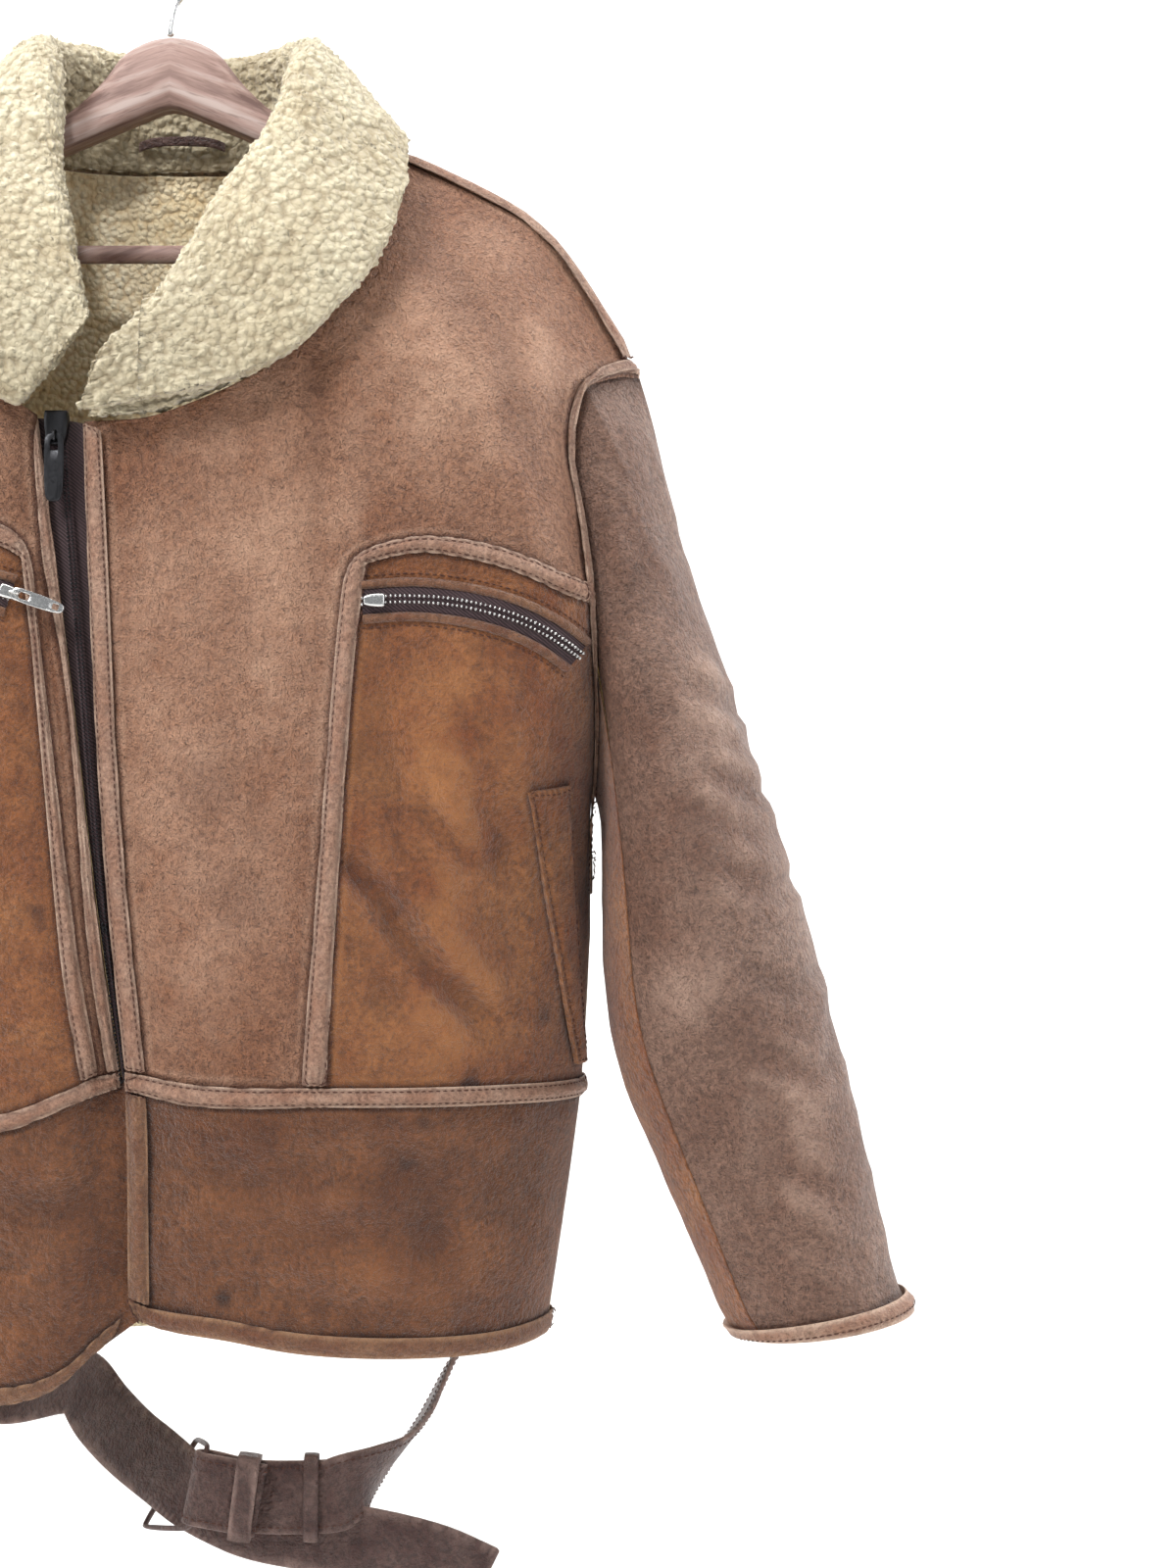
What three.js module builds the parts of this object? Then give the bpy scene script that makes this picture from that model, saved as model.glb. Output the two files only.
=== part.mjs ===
// Sheepskin flying jacket on its wooden hanger, with its own leather belt.
//
// Millimetres, +Z up, the front faces -Y, and the origin is the inside top of the hanger's hook.
// Every panel is a wall: its outer points are laid on the front or back surface of the hanging
// garment, and its inner points lie one wall thickness further in. The surfaces are height fields
// over the plane of x and z, so a panel is cut by its outline in that plane.

import * as THREE from 'three';

// Sewn wall
const WALL = 6; // hide and its clipped wool together
const SEAM = 0.3; // gap between sewn pieces
const LINE_SAMPLES = 60; // steps in which a cutting line's length is measured
const ARMHOLE_CENTRE = new THREE.Vector3(252, 0, -385);

// Raised strips sewn over the seams
const STRIP_LIFT = 0.9;
const STRIP_THICK = 2.6;
const THIN_RAISE = 0.8; // further lift of a strip's thinned rows
const STRIP_EDGE = 0.45; // share of the thickness left at a strip's edges
const TRIM_HALF = [8, 6]; // half the pocket trim's width at the waist and along its top
const WAIST_HALF = 5.5;
const HEM_WIDTH = 12;
const PLACKET_STEPS = [6, 13];
const ARMHOLE_STEPS = [5, 11];
const ARMHOLE_COLUMNS = ARMHOLE_STEPS.length;
const SHOULDER_STEPS = [5, 15];
const CUFF_WIDTH = 12;

// Rounding of the garment's top along the shoulder ridge
const TOP_FLAT = 0.25;
const TOP_ROUND = 18;
const TOP_SLOPE = 140;

// Folds
const CREASE_WIDTH = 11;
const TROUGH_WIDTH = 15;
const UNDERLAP = 8.5;

// Collar
const COLLAR_WALL = 11;
const ROLL_RADIUS = 8;
const COLLAR_STATIONS = 15;

// Zip
const TAPE_THICK = 1.2;
const TAPE_RECESS = 3.2;
const CHAIN_WIDTH = 5.4;
const CHAIN_THICK = 1.5;

// Belt
const BELT_WIDTH = 42;
const BELT_THICK = 3;
const CARRIER_Z = -775;
const CARRIER_AT = [-138, 0, 138];
const CARRIER_WIDTH = 12;

// Hanger
const ARM_THICK = 20;
const ARM_HEIGHT = 20;
const ARM_SLOPE = 0.43;
const ARM_UNDER = -102.5;
const HOOK_WIRE = 2;
const HOOK_RADIUS = 20;
const BAR_Z = -189;
const BAR_RADIUS = 5.5;

const table = (columns, rows) =>
  rows.map((row) => Object.fromEntries(columns.map((name, k) => [name, row[k]])));

// How far the front and back stand out from the seam plane, by height
const DEPTHS = table(['z', 'front', 'back'], [
  [-860, 74, 70],
  [-813, 76, 72],
  [-740, 84, 78],
  [-673, 90, 84],
  [-600, 97, 90],
  [-503, 98, 95],
  [-400, 93, 92],
  [-300, 84, 84],
  [-200, 74, 76],
  [-120, 66, 70],
]);

// Height of the shoulder ridge by distance from the middle, carried on over the neck
const RIDGE = table(['x', 'z'], [
  [0, -20], [40, -32], [75, -66], [100, -110], [117, -124.5], [130, -131], [157, -143],
  [185, -156], [200, -163], [214, -171], [224, -184], [235, -201], [243, -213], [257, -238],
  [266, -251], [273, -262],
]);

// Armhole and side seam: place, how far the seam itself stands out, and the radius beside it
const FRONT_EDGE = table(['x', 'z', 'depth', 'radius'], [
  [272, -261, 0, 34], [255, -261, 38, 40], [240, -272, 58, 40], [231, -286, 66, 40],
  [229, -300, 68, 40], [232, -318, 66, 40], [240, -350, 63, 45], [244, -390, 60, 50],
  [246.5, -440, 48, 60], [247, -480, 28, 80], [243, -503, 0, 110], [243, -530, 0, 125],
  [243, -600, 0, 130], [238, -673, 0, 130], [229, -740, 0, 125], [218, -813, 0, 120],
  [216, -845, 0, 120],
]);
const BACK_EDGE = table(['x', 'z', 'depth', 'radius'], [
  [272, -261, 0, 34], [262, -290, 35, 40], [254, -330, 56, 45], [249, -380, 66, 50],
  [247, -430, 62, 60], [246, -470, 42, 80], [243, -503, 0, 110], [243, -530, 0, 125],
  [243, -600, 0, 130], [238, -673, 0, 130], [229, -740, 0, 125], [218, -813, 0, 120],
  [216, -845, 0, 120],
]);
const UNDERARM_Z = -503;
const SHOULDER_END_X = 272;
const NECK_POINT_X = 117;

// Folds pressed into the front: the line of each and its depth there
const SHOULDER_CREASE = table(['x', 'z', 'depth'], [
  [209, -190, 0], [213, -210, 8], [219, -245, 18], [225, -285, 22], [231, -318, 20],
  [238, -345, 16], [243, -375, 10], [245, -400, 0],
]);
const POCKET_TROUGHS = [
  table(['x', 'z', 'depth'], [
    [104, -515, 0], [112, -537, 5], [135, -577, 8], [161, -610, 7], [190, -631, 4], [210, -640, 0],
  ]),
  table(['x', 'z', 'depth'], [[146, -500, 0], [160, -515, 5], [188, -540, 7], [216, -576, 3], [226,
    -590, 0]]),
];

// Middle of the zip and half the width of the hollow it lies in, by height
const ZIP_LINE = table(['z', 'x', 'half', 'deep'], [
  [-800, -2, 30, 4], [-653, -14, 34, 10], [-551, -25, 38, 12], [-443, -35, 40, 12], [-388, -41, 40, 12],
  [-291, -50, 38, 12],
]);

// Cutting lines of the wearer's left front, which is on the +X side, bottom to top or inside out
const LEFT = {
  side: 1,
  zipEdge: [[-12, -660], [-12, -653], [-21.6, -551], [-28.6, -443], [-36, -297]],
  neck: [[-36, -297], [-3, -297], [22, -289], [56, -275], [73, -264], [90, -248], [105, -229],
    [118, -208], [126, -180], [127, -152], [117, -124.5]],
  trim: [[93, -668], [96.6, -620], [102.5, -545], [108.9, -444], [112, -406], [113.7, -389], [117.4, -377]],
  top: [[117.4, -377], [124.8, -371.3], [151, -365.5], [172.5, -367.7], [193.7, -372.5], [212.3,
    -379.3], [228.4, -387]],
  trimEndZ: -392,
  waist: [[-12, -660], [0, -662], [20, -667], [60, -669], [93, -668], [120, -668], [200, -669]],
  waistSplit: 4,
  waistZ: -671,
  frontEdge: [[-12, -660], [-11, -712], [-12, -778], [-8, -792]],
  hem: [[-8, -792], [6, -798], [40, -803], [90, -812], [180, -816]],
  hemZ: -813,
  welt: { front: [[207, -501], [220, -579], [233.2, -657]], back: [[230, -497], [234, -579], [238.2,
    -657]] },
  pocketZip: [[122, -397.5], [145.7, -397], [172.4, -399.6], [199, -405.5], [219, -414]],
};

// Cutting lines of the wearer's right front, on the -X side
const RIGHT = {
  side: -1,
  zipEdge: [[-16, -659], [-16.5, -653], [-28.6, -551], [-41, -443], [-48.6, -388], [-62, -293]],
  neck: [[-62, -293], [-88, -276], [-104, -258], [-116, -232], [-124, -198], [-128, -156], [-117, -124.5]],
  trim: [[-31, -664], [-36.4, -625], [-42.8, -577], [-51.9, -485], [-60.9, -404], [-62.5, -392],
    [-66.2, -375]],
  top: [[-66.2, -375], [-74, -363], [-100, -356], [-140, -354], [-180, -361], [-212, -373], [-230, -382]],
  trimEndZ: -390,
  waist: [[-16, -659], [-31, -664], [-50, -672], [-80, -683], [-150, -688]],
  waistSplit: 1,
  waistZ: -690,
  frontEdge: [[8, -660], [6, -712], [3, -780], [-1, -790]],
  hem: [[-1, -790], [-14, -800], [-35, -815], [-50, -830], [-80, -840], [-150, -842]],
  hemZ: -838,
  welt: { front: [[-207, -501], [-220, -579], [-233.2, -657]], back: [[-230, -497], [-234, -579],
    [-238.2, -657]] },
  pocketZip: [[-73, -394.5], [-92, -389], [-120, -386], [-150, -388], [-180, -394], [-209, -405]],
};
const BACK_NECK = [[-117, -124.5], [-100, -126], [-70, -127], [0, -127], [70, -127], [100, -126], [117,
  -124.5]];

// Sleeve on the +X side: outer and inner end of each ring, where its middle lies in y, half its depth
const SLEEVE = table(['outX', 'outZ', 'inX', 'inZ', 'y', 'half'], [
  [272, -261, 243, -503, 0, 69],
  [284, -300, 247, -512, -3, 76],
  [304, -384, 249, -522, -5, 82],
  [325, -441, 249, -540, -8, 84],
  [344, -500, 249, -565, -12, 82],
  [362, -556, 249, -600, -16, 76],
  [378, -607, 252, -645, -20, 70],
  [391, -662, 273, -697, -24, 63],
  [403, -717, 297, -750, -28, 57],
  [417, -772, 317, -802, -32, 52],
  [426, -795, 329, -808, -34, 48],
]);
const ARMHOLE_BLEND = [1, 0.5, 0.16];

// Collar on the +X side from the middle of the back to the front end: where its root lies on the
// neck seam, where the stand ends and the roll begins, and how far the fall hangs past the root
const COLLAR_LEFT = table(['nx', 'nz', 'back', 'rx', 'ry', 'rz', 'over'], [
  [0, -127, 1, 0, 58, -72, 20],
  [58, -127, 1, 32, 54, -70, 18],
  [98, -126, 1, 58, 36, -68, 12],
  [117, -124.5, 0, 74, 8, -74, 8],
  [127, -156, 0, 76, -20, -92, 8],
  [122, -198, 0, 70, -46, -136, 8],
  [104, -230, 0, 50, -62, -172, 8],
  [76, -262, 0, 32, -70, -205, 6],
  [40, -282, 0, 14, -76, -234, 2],
  [0, -297, 0, -4, -82, -256, -8],
  [-34, -297, 0, -24, -86, -268, -8],
]);
const COLLAR_RIGHT = table(['nx', 'nz', 'back', 'rx', 'ry', 'rz', 'over'], [
  [0, -127, 1, 0, 58, -72, 20],
  [-58, -127, 1, -32, 54, -70, 18],
  [-98, -126, 1, -58, 36, -68, 12],
  [-117, -124.5, 0, -74, 8, -74, 8],
  [-128, -156, 0, -64, -22, -92, 8],
  [-124, -198, 0, -62, -40, -136, 8],
  [-116, -232, 0, -58, -52, -172, 8],
  [-104, -258, 0, -52, -60, -204, 8],
  [-88, -276, 0, -46, -68, -232, 8],
  [-70, -289, 0, -40, -72, -250, 2],
]);

// Top of the hanger's block by distance from the middle
const BLOCK_TOP = table(['x', 'z'], [[0, -62], [12, -63.8], [22, -68.4], [30, -74], [37, -85.5], [48,
  -97], [61, -108.3]]);

// Belt centre lines: place and the direction across the strap
const BELT_COLUMNS = ['x', 'y', 'z', 'wx', 'wy', 'wz'];
const HOLED_STRAP = table(BELT_COLUMNS, [
  [-172, 82, -777, 0, 0, 1],
  [-190, 92, -787, 0, 0.6, 0.8],
  [-198, 100, -812, 0, 1, 0.1],
  [-188, 104, -842, 0.4, 0.9, 0],
  [-158, 103, -868, 0.5, 0.7, 0.5],
  [-115, 90, -873, 0.5, 0.3, 0.8],
  [-72, 70, -860, 0.6, 0, 0.8],
  [-52, 50, -874, 0.7, 0, 0.7],
  [-30, 25, -886, 0.66, 0, 0.75],
  [-6, 2, -896, 0.6, 0, 0.8],
  [10, -12, -904, 0.45, 0, 0.9],
  [26, -18.5, -911, 0.3, 0, 0.95],
  [52, -19.5, -922, 0.15, 0, 1],
  [91, -19.5, -929, 0, 0, 1],
  [130, -17.5, -937, 0.1, 0, 1],
  [157, -16, -945, 0.35, 0, 0.95],
  [182, -14, -957, 0.45, 0, 0.9],
]);
const BUCKLE_STRAP = table(BELT_COLUMNS, [
  [168, 76, -777, 0, 0, 1],
  [182, 84, -787, 0, 0.7, 0.7],
  [180, 88, -810, 0, 1, 0.1],
  [168, 84, -836, 0, 1, 0],
  [155, 72, -853, 0, 1, 0],
  [147.5, 52, -869, -0.3, 0.93, 0.2],
  [141, 28, -879, -0.5, 0.75, 0.43],
  [133, 0, -886, -0.4, 0.3, 0.87],
  [119, -20, -891, -0.1, 0.05, 1],
  [106, -25.6, -898, 0, 0, 1],
  [91, -26.7, -904, 0.05, 0, 1],
  [52, -26.7, -904, 0.15, 0, 1],
  [25, -26.3, -898.6, 0.2, 0, 0.98],
  [18.4, -27.4, -897.4, 0.2, 0, 0.98],
  [15.8, -30.5, -896.9, 0.2, 0, 0.98],
  [18.4, -33.6, -897.4, 0.2, 0, 0.98],
  [25, -34.7, -898.6, 0.2, 0, 0.98],
  [56, -34.3, -904.4, 0.15, 0, 1],
]);
const BUCKLE = [[15.4, -30.5, -921.5], [-17, -2, -929], [12, 15, -882], [25.5, -30.5, -873.5]];
const BUCKLE_WIRE = 1.8;

// Plain helpers

const clamp01 = (t) => Math.min(Math.max(t, 0), 1);
const mix = (a, b, t) => a + (b - a) * t;
const smooth = (t) => clamp01(t) ** 2 * (3 - 2 * clamp01(t));
const quarterRound = (t) => Math.sqrt(1 - (1 - clamp01(t)) ** 2);
const mixPoint = (p, q, t) => ({ x: mix(p.x, q.x, t), z: mix(p.z, q.z, t) });
const flat = (pairs) => pairs.map(([x, z]) => ({ x, z }));
const vector = (x, y, z) => new THREE.Vector3(x, y, z);

const even = (count) => Array.from({ length: count + 1 }, (_, k) => k / count);

/** Smooth value of a table's column at a key, held flat past the table's ends. */
function lookUp(rows, keyName, column, key) {
  const last = rows.length - 1;
  if (key <= rows[0][keyName]) return rows[0][column];
  if (key >= rows[last][keyName]) return rows[last][column];
  let k = 1;
  while (rows[k][keyName] < key) k += 1;
  const slope = (i) => {
    const before = rows[Math.max(i - 1, 0)];
    const after = rows[Math.min(i + 1, last)];
    return (after[column] - before[column]) / (after[keyName] - before[keyName]);
  };
  const span = rows[k][keyName] - rows[k - 1][keyName];
  const t = (key - rows[k - 1][keyName]) / span;
  const rise = (3 - 2 * t) * t * t;
  const leaving = (t * t * t - 2 * t * t + t) * span * slope(k - 1);
  const arriving = (t * t * t - t * t) * span * slope(k);
  return mix(rows[k - 1][column], rows[k][column], rise) + leaving + arriving;
}

/** Spline through a table's rows, as many more rows with the same columns. */
function smoothRows(rows, steps) {
  const columns = Object.keys(rows[0]);
  const result = [];
  for (let k = 0; k + 1 < rows.length; k += 1) {
    const around = [rows[Math.max(k - 1, 0)], rows[k], rows[k + 1], rows[Math.min(k + 2, rows.length - 1)]];
    for (let s = 0; s < steps; s += 1) {
      const t = s / steps;
      result.push(Object.fromEntries(columns.map((name) => {
        const [a, b, c, d] = around.map((row) => row[name]);
        const v0 = (c - a) / 2;
        const v1 = (d - b) / 2;
        const value = (2 * b - 2 * c + v0 + v1) * t ** 3 + (-3 * b + 3 * c - 2 * v0 - v1) * t ** 2
          + v0 * t + b;
        return [name, value];
      })));
    }
  }
  result.push({ ...rows[rows.length - 1] });
  return result;
}

/** Points of a path in the x and z plane at given shares of its length. */
function alongPath(path, shares) {
  const reach = [0];
  for (let k = 1; k < path.length; k += 1) {
    reach.push(reach[k - 1] + Math.hypot(path[k].x - path[k - 1].x, path[k].z - path[k - 1].z));
  }
  const total = reach[reach.length - 1];
  return shares.map((share) => {
    const want = share * total;
    let k = 1;
    while (k < path.length - 1 && reach[k] < want) k += 1;
    const step = reach[k] - reach[k - 1];
    return mixPoint(path[k - 1], path[k], step > 0 ? clamp01((want - reach[k - 1]) / step) : 0);
  });
}

/** A curved cutting line through a few points. */
const curve = (pairs) => smoothRows(flat(pairs), 8);

/** Nearest place on a table's line to a point, with the table's columns there. */
function nearest(rows, x, z) {
  let best = { distance: Infinity };
  for (let k = 1; k < rows.length; k += 1) {
    const a = rows[k - 1];
    const b = rows[k];
    const dx = b.x - a.x;
    const dz = b.z - a.z;
    const t = clamp01(((x - a.x) * dx + (z - a.z) * dz) / (dx * dx + dz * dz));
    const distance = Math.hypot(a.x + dx * t - x, a.z + dz * t - z);
    if (distance < best.distance) {
      best = { distance, depth: mix(a.depth, b.depth, t), radius: mix(a.radius, b.radius, t) };
    }
  }
  return best;
}

// Surfaces of the hanging garment

const frontEdge = smoothRows(FRONT_EDGE, 6);
const backEdge = smoothRows(BACK_EDGE, 6);
const ridgeHeight = (x) => lookUp(RIDGE, 'x', 'z', Math.abs(x));
const FRONT = { sign: -1, column: 'front', edge: frontEdge };
const BACK = { sign: 1, column: 'back', edge: backEdge };

/** Depth pressed into the front by its folds and by the lap under the other front. */
function foldDepth(x, z) {
  const press = (line, width) => {
    const near = nearest(line, Math.abs(x), z);
    return near.depth * Math.exp(-((near.distance / width) ** 2));
  };
  const off = Math.abs(x - lookUp(ZIP_LINE, 'z', 'x', z)) / lookUp(ZIP_LINE, 'z', 'half', z);
  const valley = lookUp(ZIP_LINE, 'z', 'deep', z) * Math.cos((Math.PI / 2) * clamp01(off)) ** 2;
  return valley + press(SHOULDER_CREASE, CREASE_WIDTH)
    + POCKET_TROUGHS.reduce((sum, line) => sum + press(line, TROUGH_WIDTH), 0);
}

/** How far a surface stands out from the seam plane above a point. */
function bodyDepth(surface, x, z) {
  const full = lookUp(DEPTHS, 'z', surface.column, z);
  const edge = nearest(surface.edge, Math.abs(x), z);
  const drop = ridgeHeight(x) - z;
  const top = TOP_FLAT * quarterRound(drop / TOP_ROUND)
    + (1 - TOP_FLAT) * Math.sin((Math.PI / 2) * clamp01(drop / TOP_SLOPE));
  const seam = Math.max(edge.depth, 0);
  const plain = (seam + (full - seam) * quarterRound(edge.distance / edge.radius)) * top;
  const folded = surface.sign < 0 ? plain - foldDepth(x, z) * smooth(plain / 30) : plain;
  const lap = surface.lap ? UNDERLAP * smooth((x + 50) / 26) * smooth((-596 - z) / 60) : 0;
  return Math.max(folded - lap, 0) + SEAM / 2;
}

const FRONT_LAPPED = { ...FRONT, lap: true };

const onBody = (surface, p) => vector(p.x, surface.sign * bodyDepth(surface, p.x, p.z), p.z);

/** Unit direction into the cloth at a point of a surface. */
function inward(surface, p) {
  const step = 0.5;
  const dx = bodyDepth(surface, p.x + step, p.z) - bodyDepth(surface, p.x - step, p.z);
  const dz = bodyDepth(surface, p.x, p.z + step) - bodyDepth(surface, p.x, p.z - step);
  return vector(dx, -surface.sign * 2 * step, dz).normalize();
}

/**
 * Points on a cutting line at even steps of length over the surface, but for the ends, where they
 * lie at the distances given, so that strips of those widths can be laid on them.
 */
function spaceLine(surface, path, count, fromStart = [], fromEnd = []) {
  const dense = alongPath(path, even(LINE_SAMPLES));
  const lifted = dense.map((p) => onBody(surface, p));
  const reach = [0];
  for (let k = 1; k < lifted.length; k += 1) reach.push(reach[k - 1] + lifted[k].distanceTo(lifted[k - 1]));
  const total = reach[LINE_SAMPLES];
  const fixed = (fromStart[fromStart.length - 1] ?? 0) + (fromEnd[fromEnd.length - 1] ?? 0);
  const shrink = fixed > 0 ? Math.min(1, (0.7 * total) / fixed) : 1;
  const head = [0, ...fromStart.map((d) => d * shrink)];
  const tail = [0, ...fromEnd.map((d) => d * shrink)].map((d) => total - d).reverse();
  const between = count + 1 - head.length - tail.length;
  const low = head[head.length - 1];
  const high = tail[0];
  const middle = Array.from({ length: between }, (_, k) => mix(low, high, (k + 1) / (between + 1)));
  const points = [...head, ...middle, ...tail].map((want) => {
    let k = 1;
    while (k < LINE_SAMPLES && reach[k] < want) k += 1;
    const step = reach[k] - reach[k - 1];
    return mixPoint(dense[k - 1], dense[k], step > 0 ? clamp01((want - reach[k - 1]) / step) : 0);
  });
  points[0] = path[0];
  points[count] = path[path.length - 1];
  return points;
}

/** Four-sided patch between cutting lines that share their corners. */
function patch(low, high, start, end) {
  const rows = start.length - 1;
  const columns = low.length - 1;
  const shares = (line) => {
    const reach = [0];
    for (let k = 1; k < line.length; k += 1) {
      reach.push(reach[k - 1] + Math.hypot(line[k].x - line[k - 1].x, line[k].z - line[k - 1].z));
    }
    return reach.map((value) => value / reach[reach.length - 1]);
  };
  const average = (a, b) => a.map((value, k) => (value + b[k]) / 2);
  const s = average(shares(low), shares(high));
  const t = average(shares(start), shares(end));
  return low.map((_, i) => start.map((__, j) => {
    if (i === 0) return start[j];
    if (i === columns) return end[j];
    if (j === 0) return low[i];
    if (j === rows) return high[i];
    const blend = (name) => mix(low[i][name], high[i][name], t[j]) + mix(start[j][name], end[j][name], s[i])
      - mix(mix(low[0][name], low[columns][name], s[i]), mix(high[0][name], high[columns][name], s[i]),
        t[j]);
    return { x: blend('x'), z: blend('z') };
  }));
}

/** Patch of straight lines between two cutting lines, which takes on the bends of its ends near them. */
function ruledPatch(low, high, start, end, startReach, endReach) {
  const last = low.length - 1;
  const rows = start.length - 1;
  const bend = (line, j) => {
    const straight = mixPoint(line[0], line[rows], j / rows);
    return { x: line[j].x - straight.x, z: line[j].z - straight.z };
  };
  return low.map((_, i) => {
    if (i === 0) return start;
    if (i === last) return end;
    const nearStart = smooth(1 - i / startReach);
    const nearEnd = smooth((endReach - (last - i)) / (endReach - ARMHOLE_COLUMNS));
    return start.map((__, j) => {
      const p = mixPoint(low[i], high[i], j / rows);
      const [a, b] = [bend(start, j), bend(end, j)];
      return { x: p.x + nearStart * a.x + nearEnd * b.x, z: p.z + nearStart * a.z + nearEnd * b.z };
    });
  });
}

/** Draws the inner points of some rows of a grid to the middle of their neighbours. */
function relaxRows(grid, from, to, turns) {
  for (let turn = 0; turn < turns; turn += 1) {
    for (let i = from; i <= to; i += 1) {
      for (let j = 1; j < grid[i].length - 1; j += 1) {
        const across = mixPoint(grid[i - 1][j], grid[i + 1][j], 0.5);
        grid[i][j] = mixPoint(across, mixPoint(grid[i][j - 1], grid[i][j + 1], 0.5), 0.5);
      }
    }
  }
}

/** Lays a row's inner points halfway between those of its neighbours. */
function midRow(grid, i) {
  for (let j = 1; j < grid[i].length - 1; j += 1) grid[i][j] = mixPoint(grid[i - 1][j], grid[i + 1][j],
    0.5);
}

/** Moves a patch's inner points along its rows. */
function spaceRows(surface, grid, fromStart, fromEnd) {
  const columns = grid.length - 1;
  for (let j = 1; j + 1 < grid[0].length; j += 1) {
    const line = spaceLine(surface, grid.map((cells) => cells[j]), columns, fromStart, fromEnd);
    for (let i = 1; i < columns; i += 1) grid[i][j] = line[i];
  }
  return grid;
}

/** Moves a patch's inner points along its columns, with distances that may differ from column to column. */
function spaceColumns(surface, grid, fromStart, fromEnd) {
  const rows = grid[0].length - 1;
  for (let i = 1; i + 1 < grid.length; i += 1) {
    grid[i] = spaceLine(surface, grid[i], rows, fromStart(i), fromEnd(i));
  }
  return grid;
}

/** Closed body between an outer and an inner grid of points; a ring closes on itself along its length. */
function wallGeometry(outer, inner, ring = false) {
  const rows = outer.length;
  const columns = outer[0].length;
  const points = [...outer.flat(), ...inner.flat()];
  const at = (layer, i, j) => layer * rows * columns + (i % rows) * columns + j;
  const faces = [];
  const quad = (a, b, c, d) => faces.push([a, b, c], [a, c, d]);
  const lengths = ring ? rows : rows - 1;
  for (let i = 0; i < lengths; i += 1) {
    for (let j = 0; j + 1 < columns; j += 1) {
      const corners = [[i, j], [i + 1, j], [i + 1, j + 1], [i, j + 1]];
      const [a, b, c, d] = corners.map(([p, q]) => points[at(0, p, q)]);
      if (a.distanceTo(c) > b.distanceTo(d)) corners.push(corners.shift());
      quad(...corners.map(([p, q]) => at(0, p, q)));
      quad(...corners.slice(0, 1).concat(corners.slice(1).reverse()).map(([p, q]) => at(1, p, q)));
    }
    quad(at(0, i, 0), at(1, i, 0), at(1, i + 1, 0), at(0, i + 1, 0));
    quad(at(0, i, columns - 1), at(0, i + 1, columns - 1), at(1, i + 1, columns - 1), at(1, i,
      columns - 1));
  }
  if (!ring) {
    for (let j = 0; j + 1 < columns; j += 1) {
      quad(at(0, 0, j), at(0, 0, j + 1), at(1, 0, j + 1), at(1, 0, j));
      quad(at(0, rows - 1, j), at(1, rows - 1, j), at(1, rows - 1, j + 1), at(0, rows - 1, j + 1));
    }
  }
  return facesOut(points, faces);
}

/** Geometry of a closed body, with its faces turned to point out. */
function facesOut(points, faces) {
  const volume = faces.reduce((sum, [a, b, c]) =>
    sum + points[a].dot(vector(0, 0, 0).crossVectors(points[b], points[c])), 0);
  const turned = volume < 0 ? faces.map(([a, b, c]) => [a, c, b]) : faces;
  const geometry = new THREE.BufferGeometry();
  geometry.setAttribute('position', new THREE.Float32BufferAttribute(points.flatMap((p) => [p.x, p.y,
    p.z]), 3));
  geometry.setIndex(turned.flat());
  return geometry;
}

/** Closed body through rings of points, with flat ends. */
function loftGeometry(rings) {
  const count = rings[0].length;
  const points = rings.flat();
  const faces = [];
  for (let i = 0; i + 1 < rings.length; i += 1) {
    for (let j = 0; j < count; j += 1) {
      const a = i * count + j;
      const b = i * count + ((j + 1) % count);
      faces.push([a, b, b + count], [a, b + count, a + count]);
    }
  }
  const last = (rings.length - 1) * count;
  for (let j = 1; j + 1 < count; j += 1) {
    faces.push([0, j + 1, j], [last, last + j, last + j + 1]);
  }
  return facesOut(points, faces);
}

/** Panel laid on a surface, with points aimed at the armhole's middle where it borders the armhole. */
function layPanel(surface, grid, atArmhole = () => false) {
  const outer = grid.map((line) => line.map((p) => onBody(surface, p)));
  const into = grid.map((line) => line.map((p) => inward(surface, p)));
  const inner = grid.map((line, i) => line.map((p, j) => {
    const from = outer[i][j];
    const middle = ARMHOLE_CENTRE.clone();
    middle.x *= Math.sign(p.x) || 1;
    const aim = atArmhole(i, j) ? middle.sub(from).normalize() : into[i][j];
    const point = from.clone().addScaledVector(aim, WALL);
    point.y = surface.sign * Math.max(surface.sign * point.y, SEAM / 2);
    return point;
  }));
  insetEdges(outer);
  insetEdges(inner);
  const facets = facetDirections(outer, into);
  return { outer, inner, into: facets.map((line, i) => line.map((way, j) => (atArmhole(i,
    j) ? into[i][j] : way))) };
}

/** Unit directions into the cloth at a grid's points, from the points round each. */
function facetDirections(grid, guide) {
  const lastRow = grid.length - 1;
  const lastColumn = grid[0].length - 1;
  return grid.map((line, i) => line.map((_, j) => {
    const along = grid[Math.min(i + 1, lastRow)][j].clone().sub(grid[Math.max(i - 1, 0)][j]);
    const across = grid[i][Math.min(j + 1, lastColumn)].clone().sub(grid[i][Math.max(j - 1, 0)]);
    const way = along.cross(across).normalize();
    return way.dot(guide[i][j]) < 0 ? way.negate() : way;
  }));
}

/** Draws a grid's border in by half a seam gap. */
function insetEdges(grid, gap = SEAM / 2) {
  const rows = grid.length;
  const columns = grid[0].length;
  const copy = grid.map((line) => line.map((p) => p.clone()));
  const pull = (i, j, toI, toJ) => {
    const way = copy[toI][toJ].clone().sub(copy[i][j]).normalize();
    grid[i][j].addScaledVector(way, gap);
  };
  for (let i = 0; i < rows; i += 1) {
    pull(i, 0, i, 1);
    pull(i, columns - 1, i, columns - 2);
  }
  for (let j = 0; j < columns; j += 1) {
    pull(0, j, 1, j);
    pull(rows - 1, j, rows - 2, j);
  }
}

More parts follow.
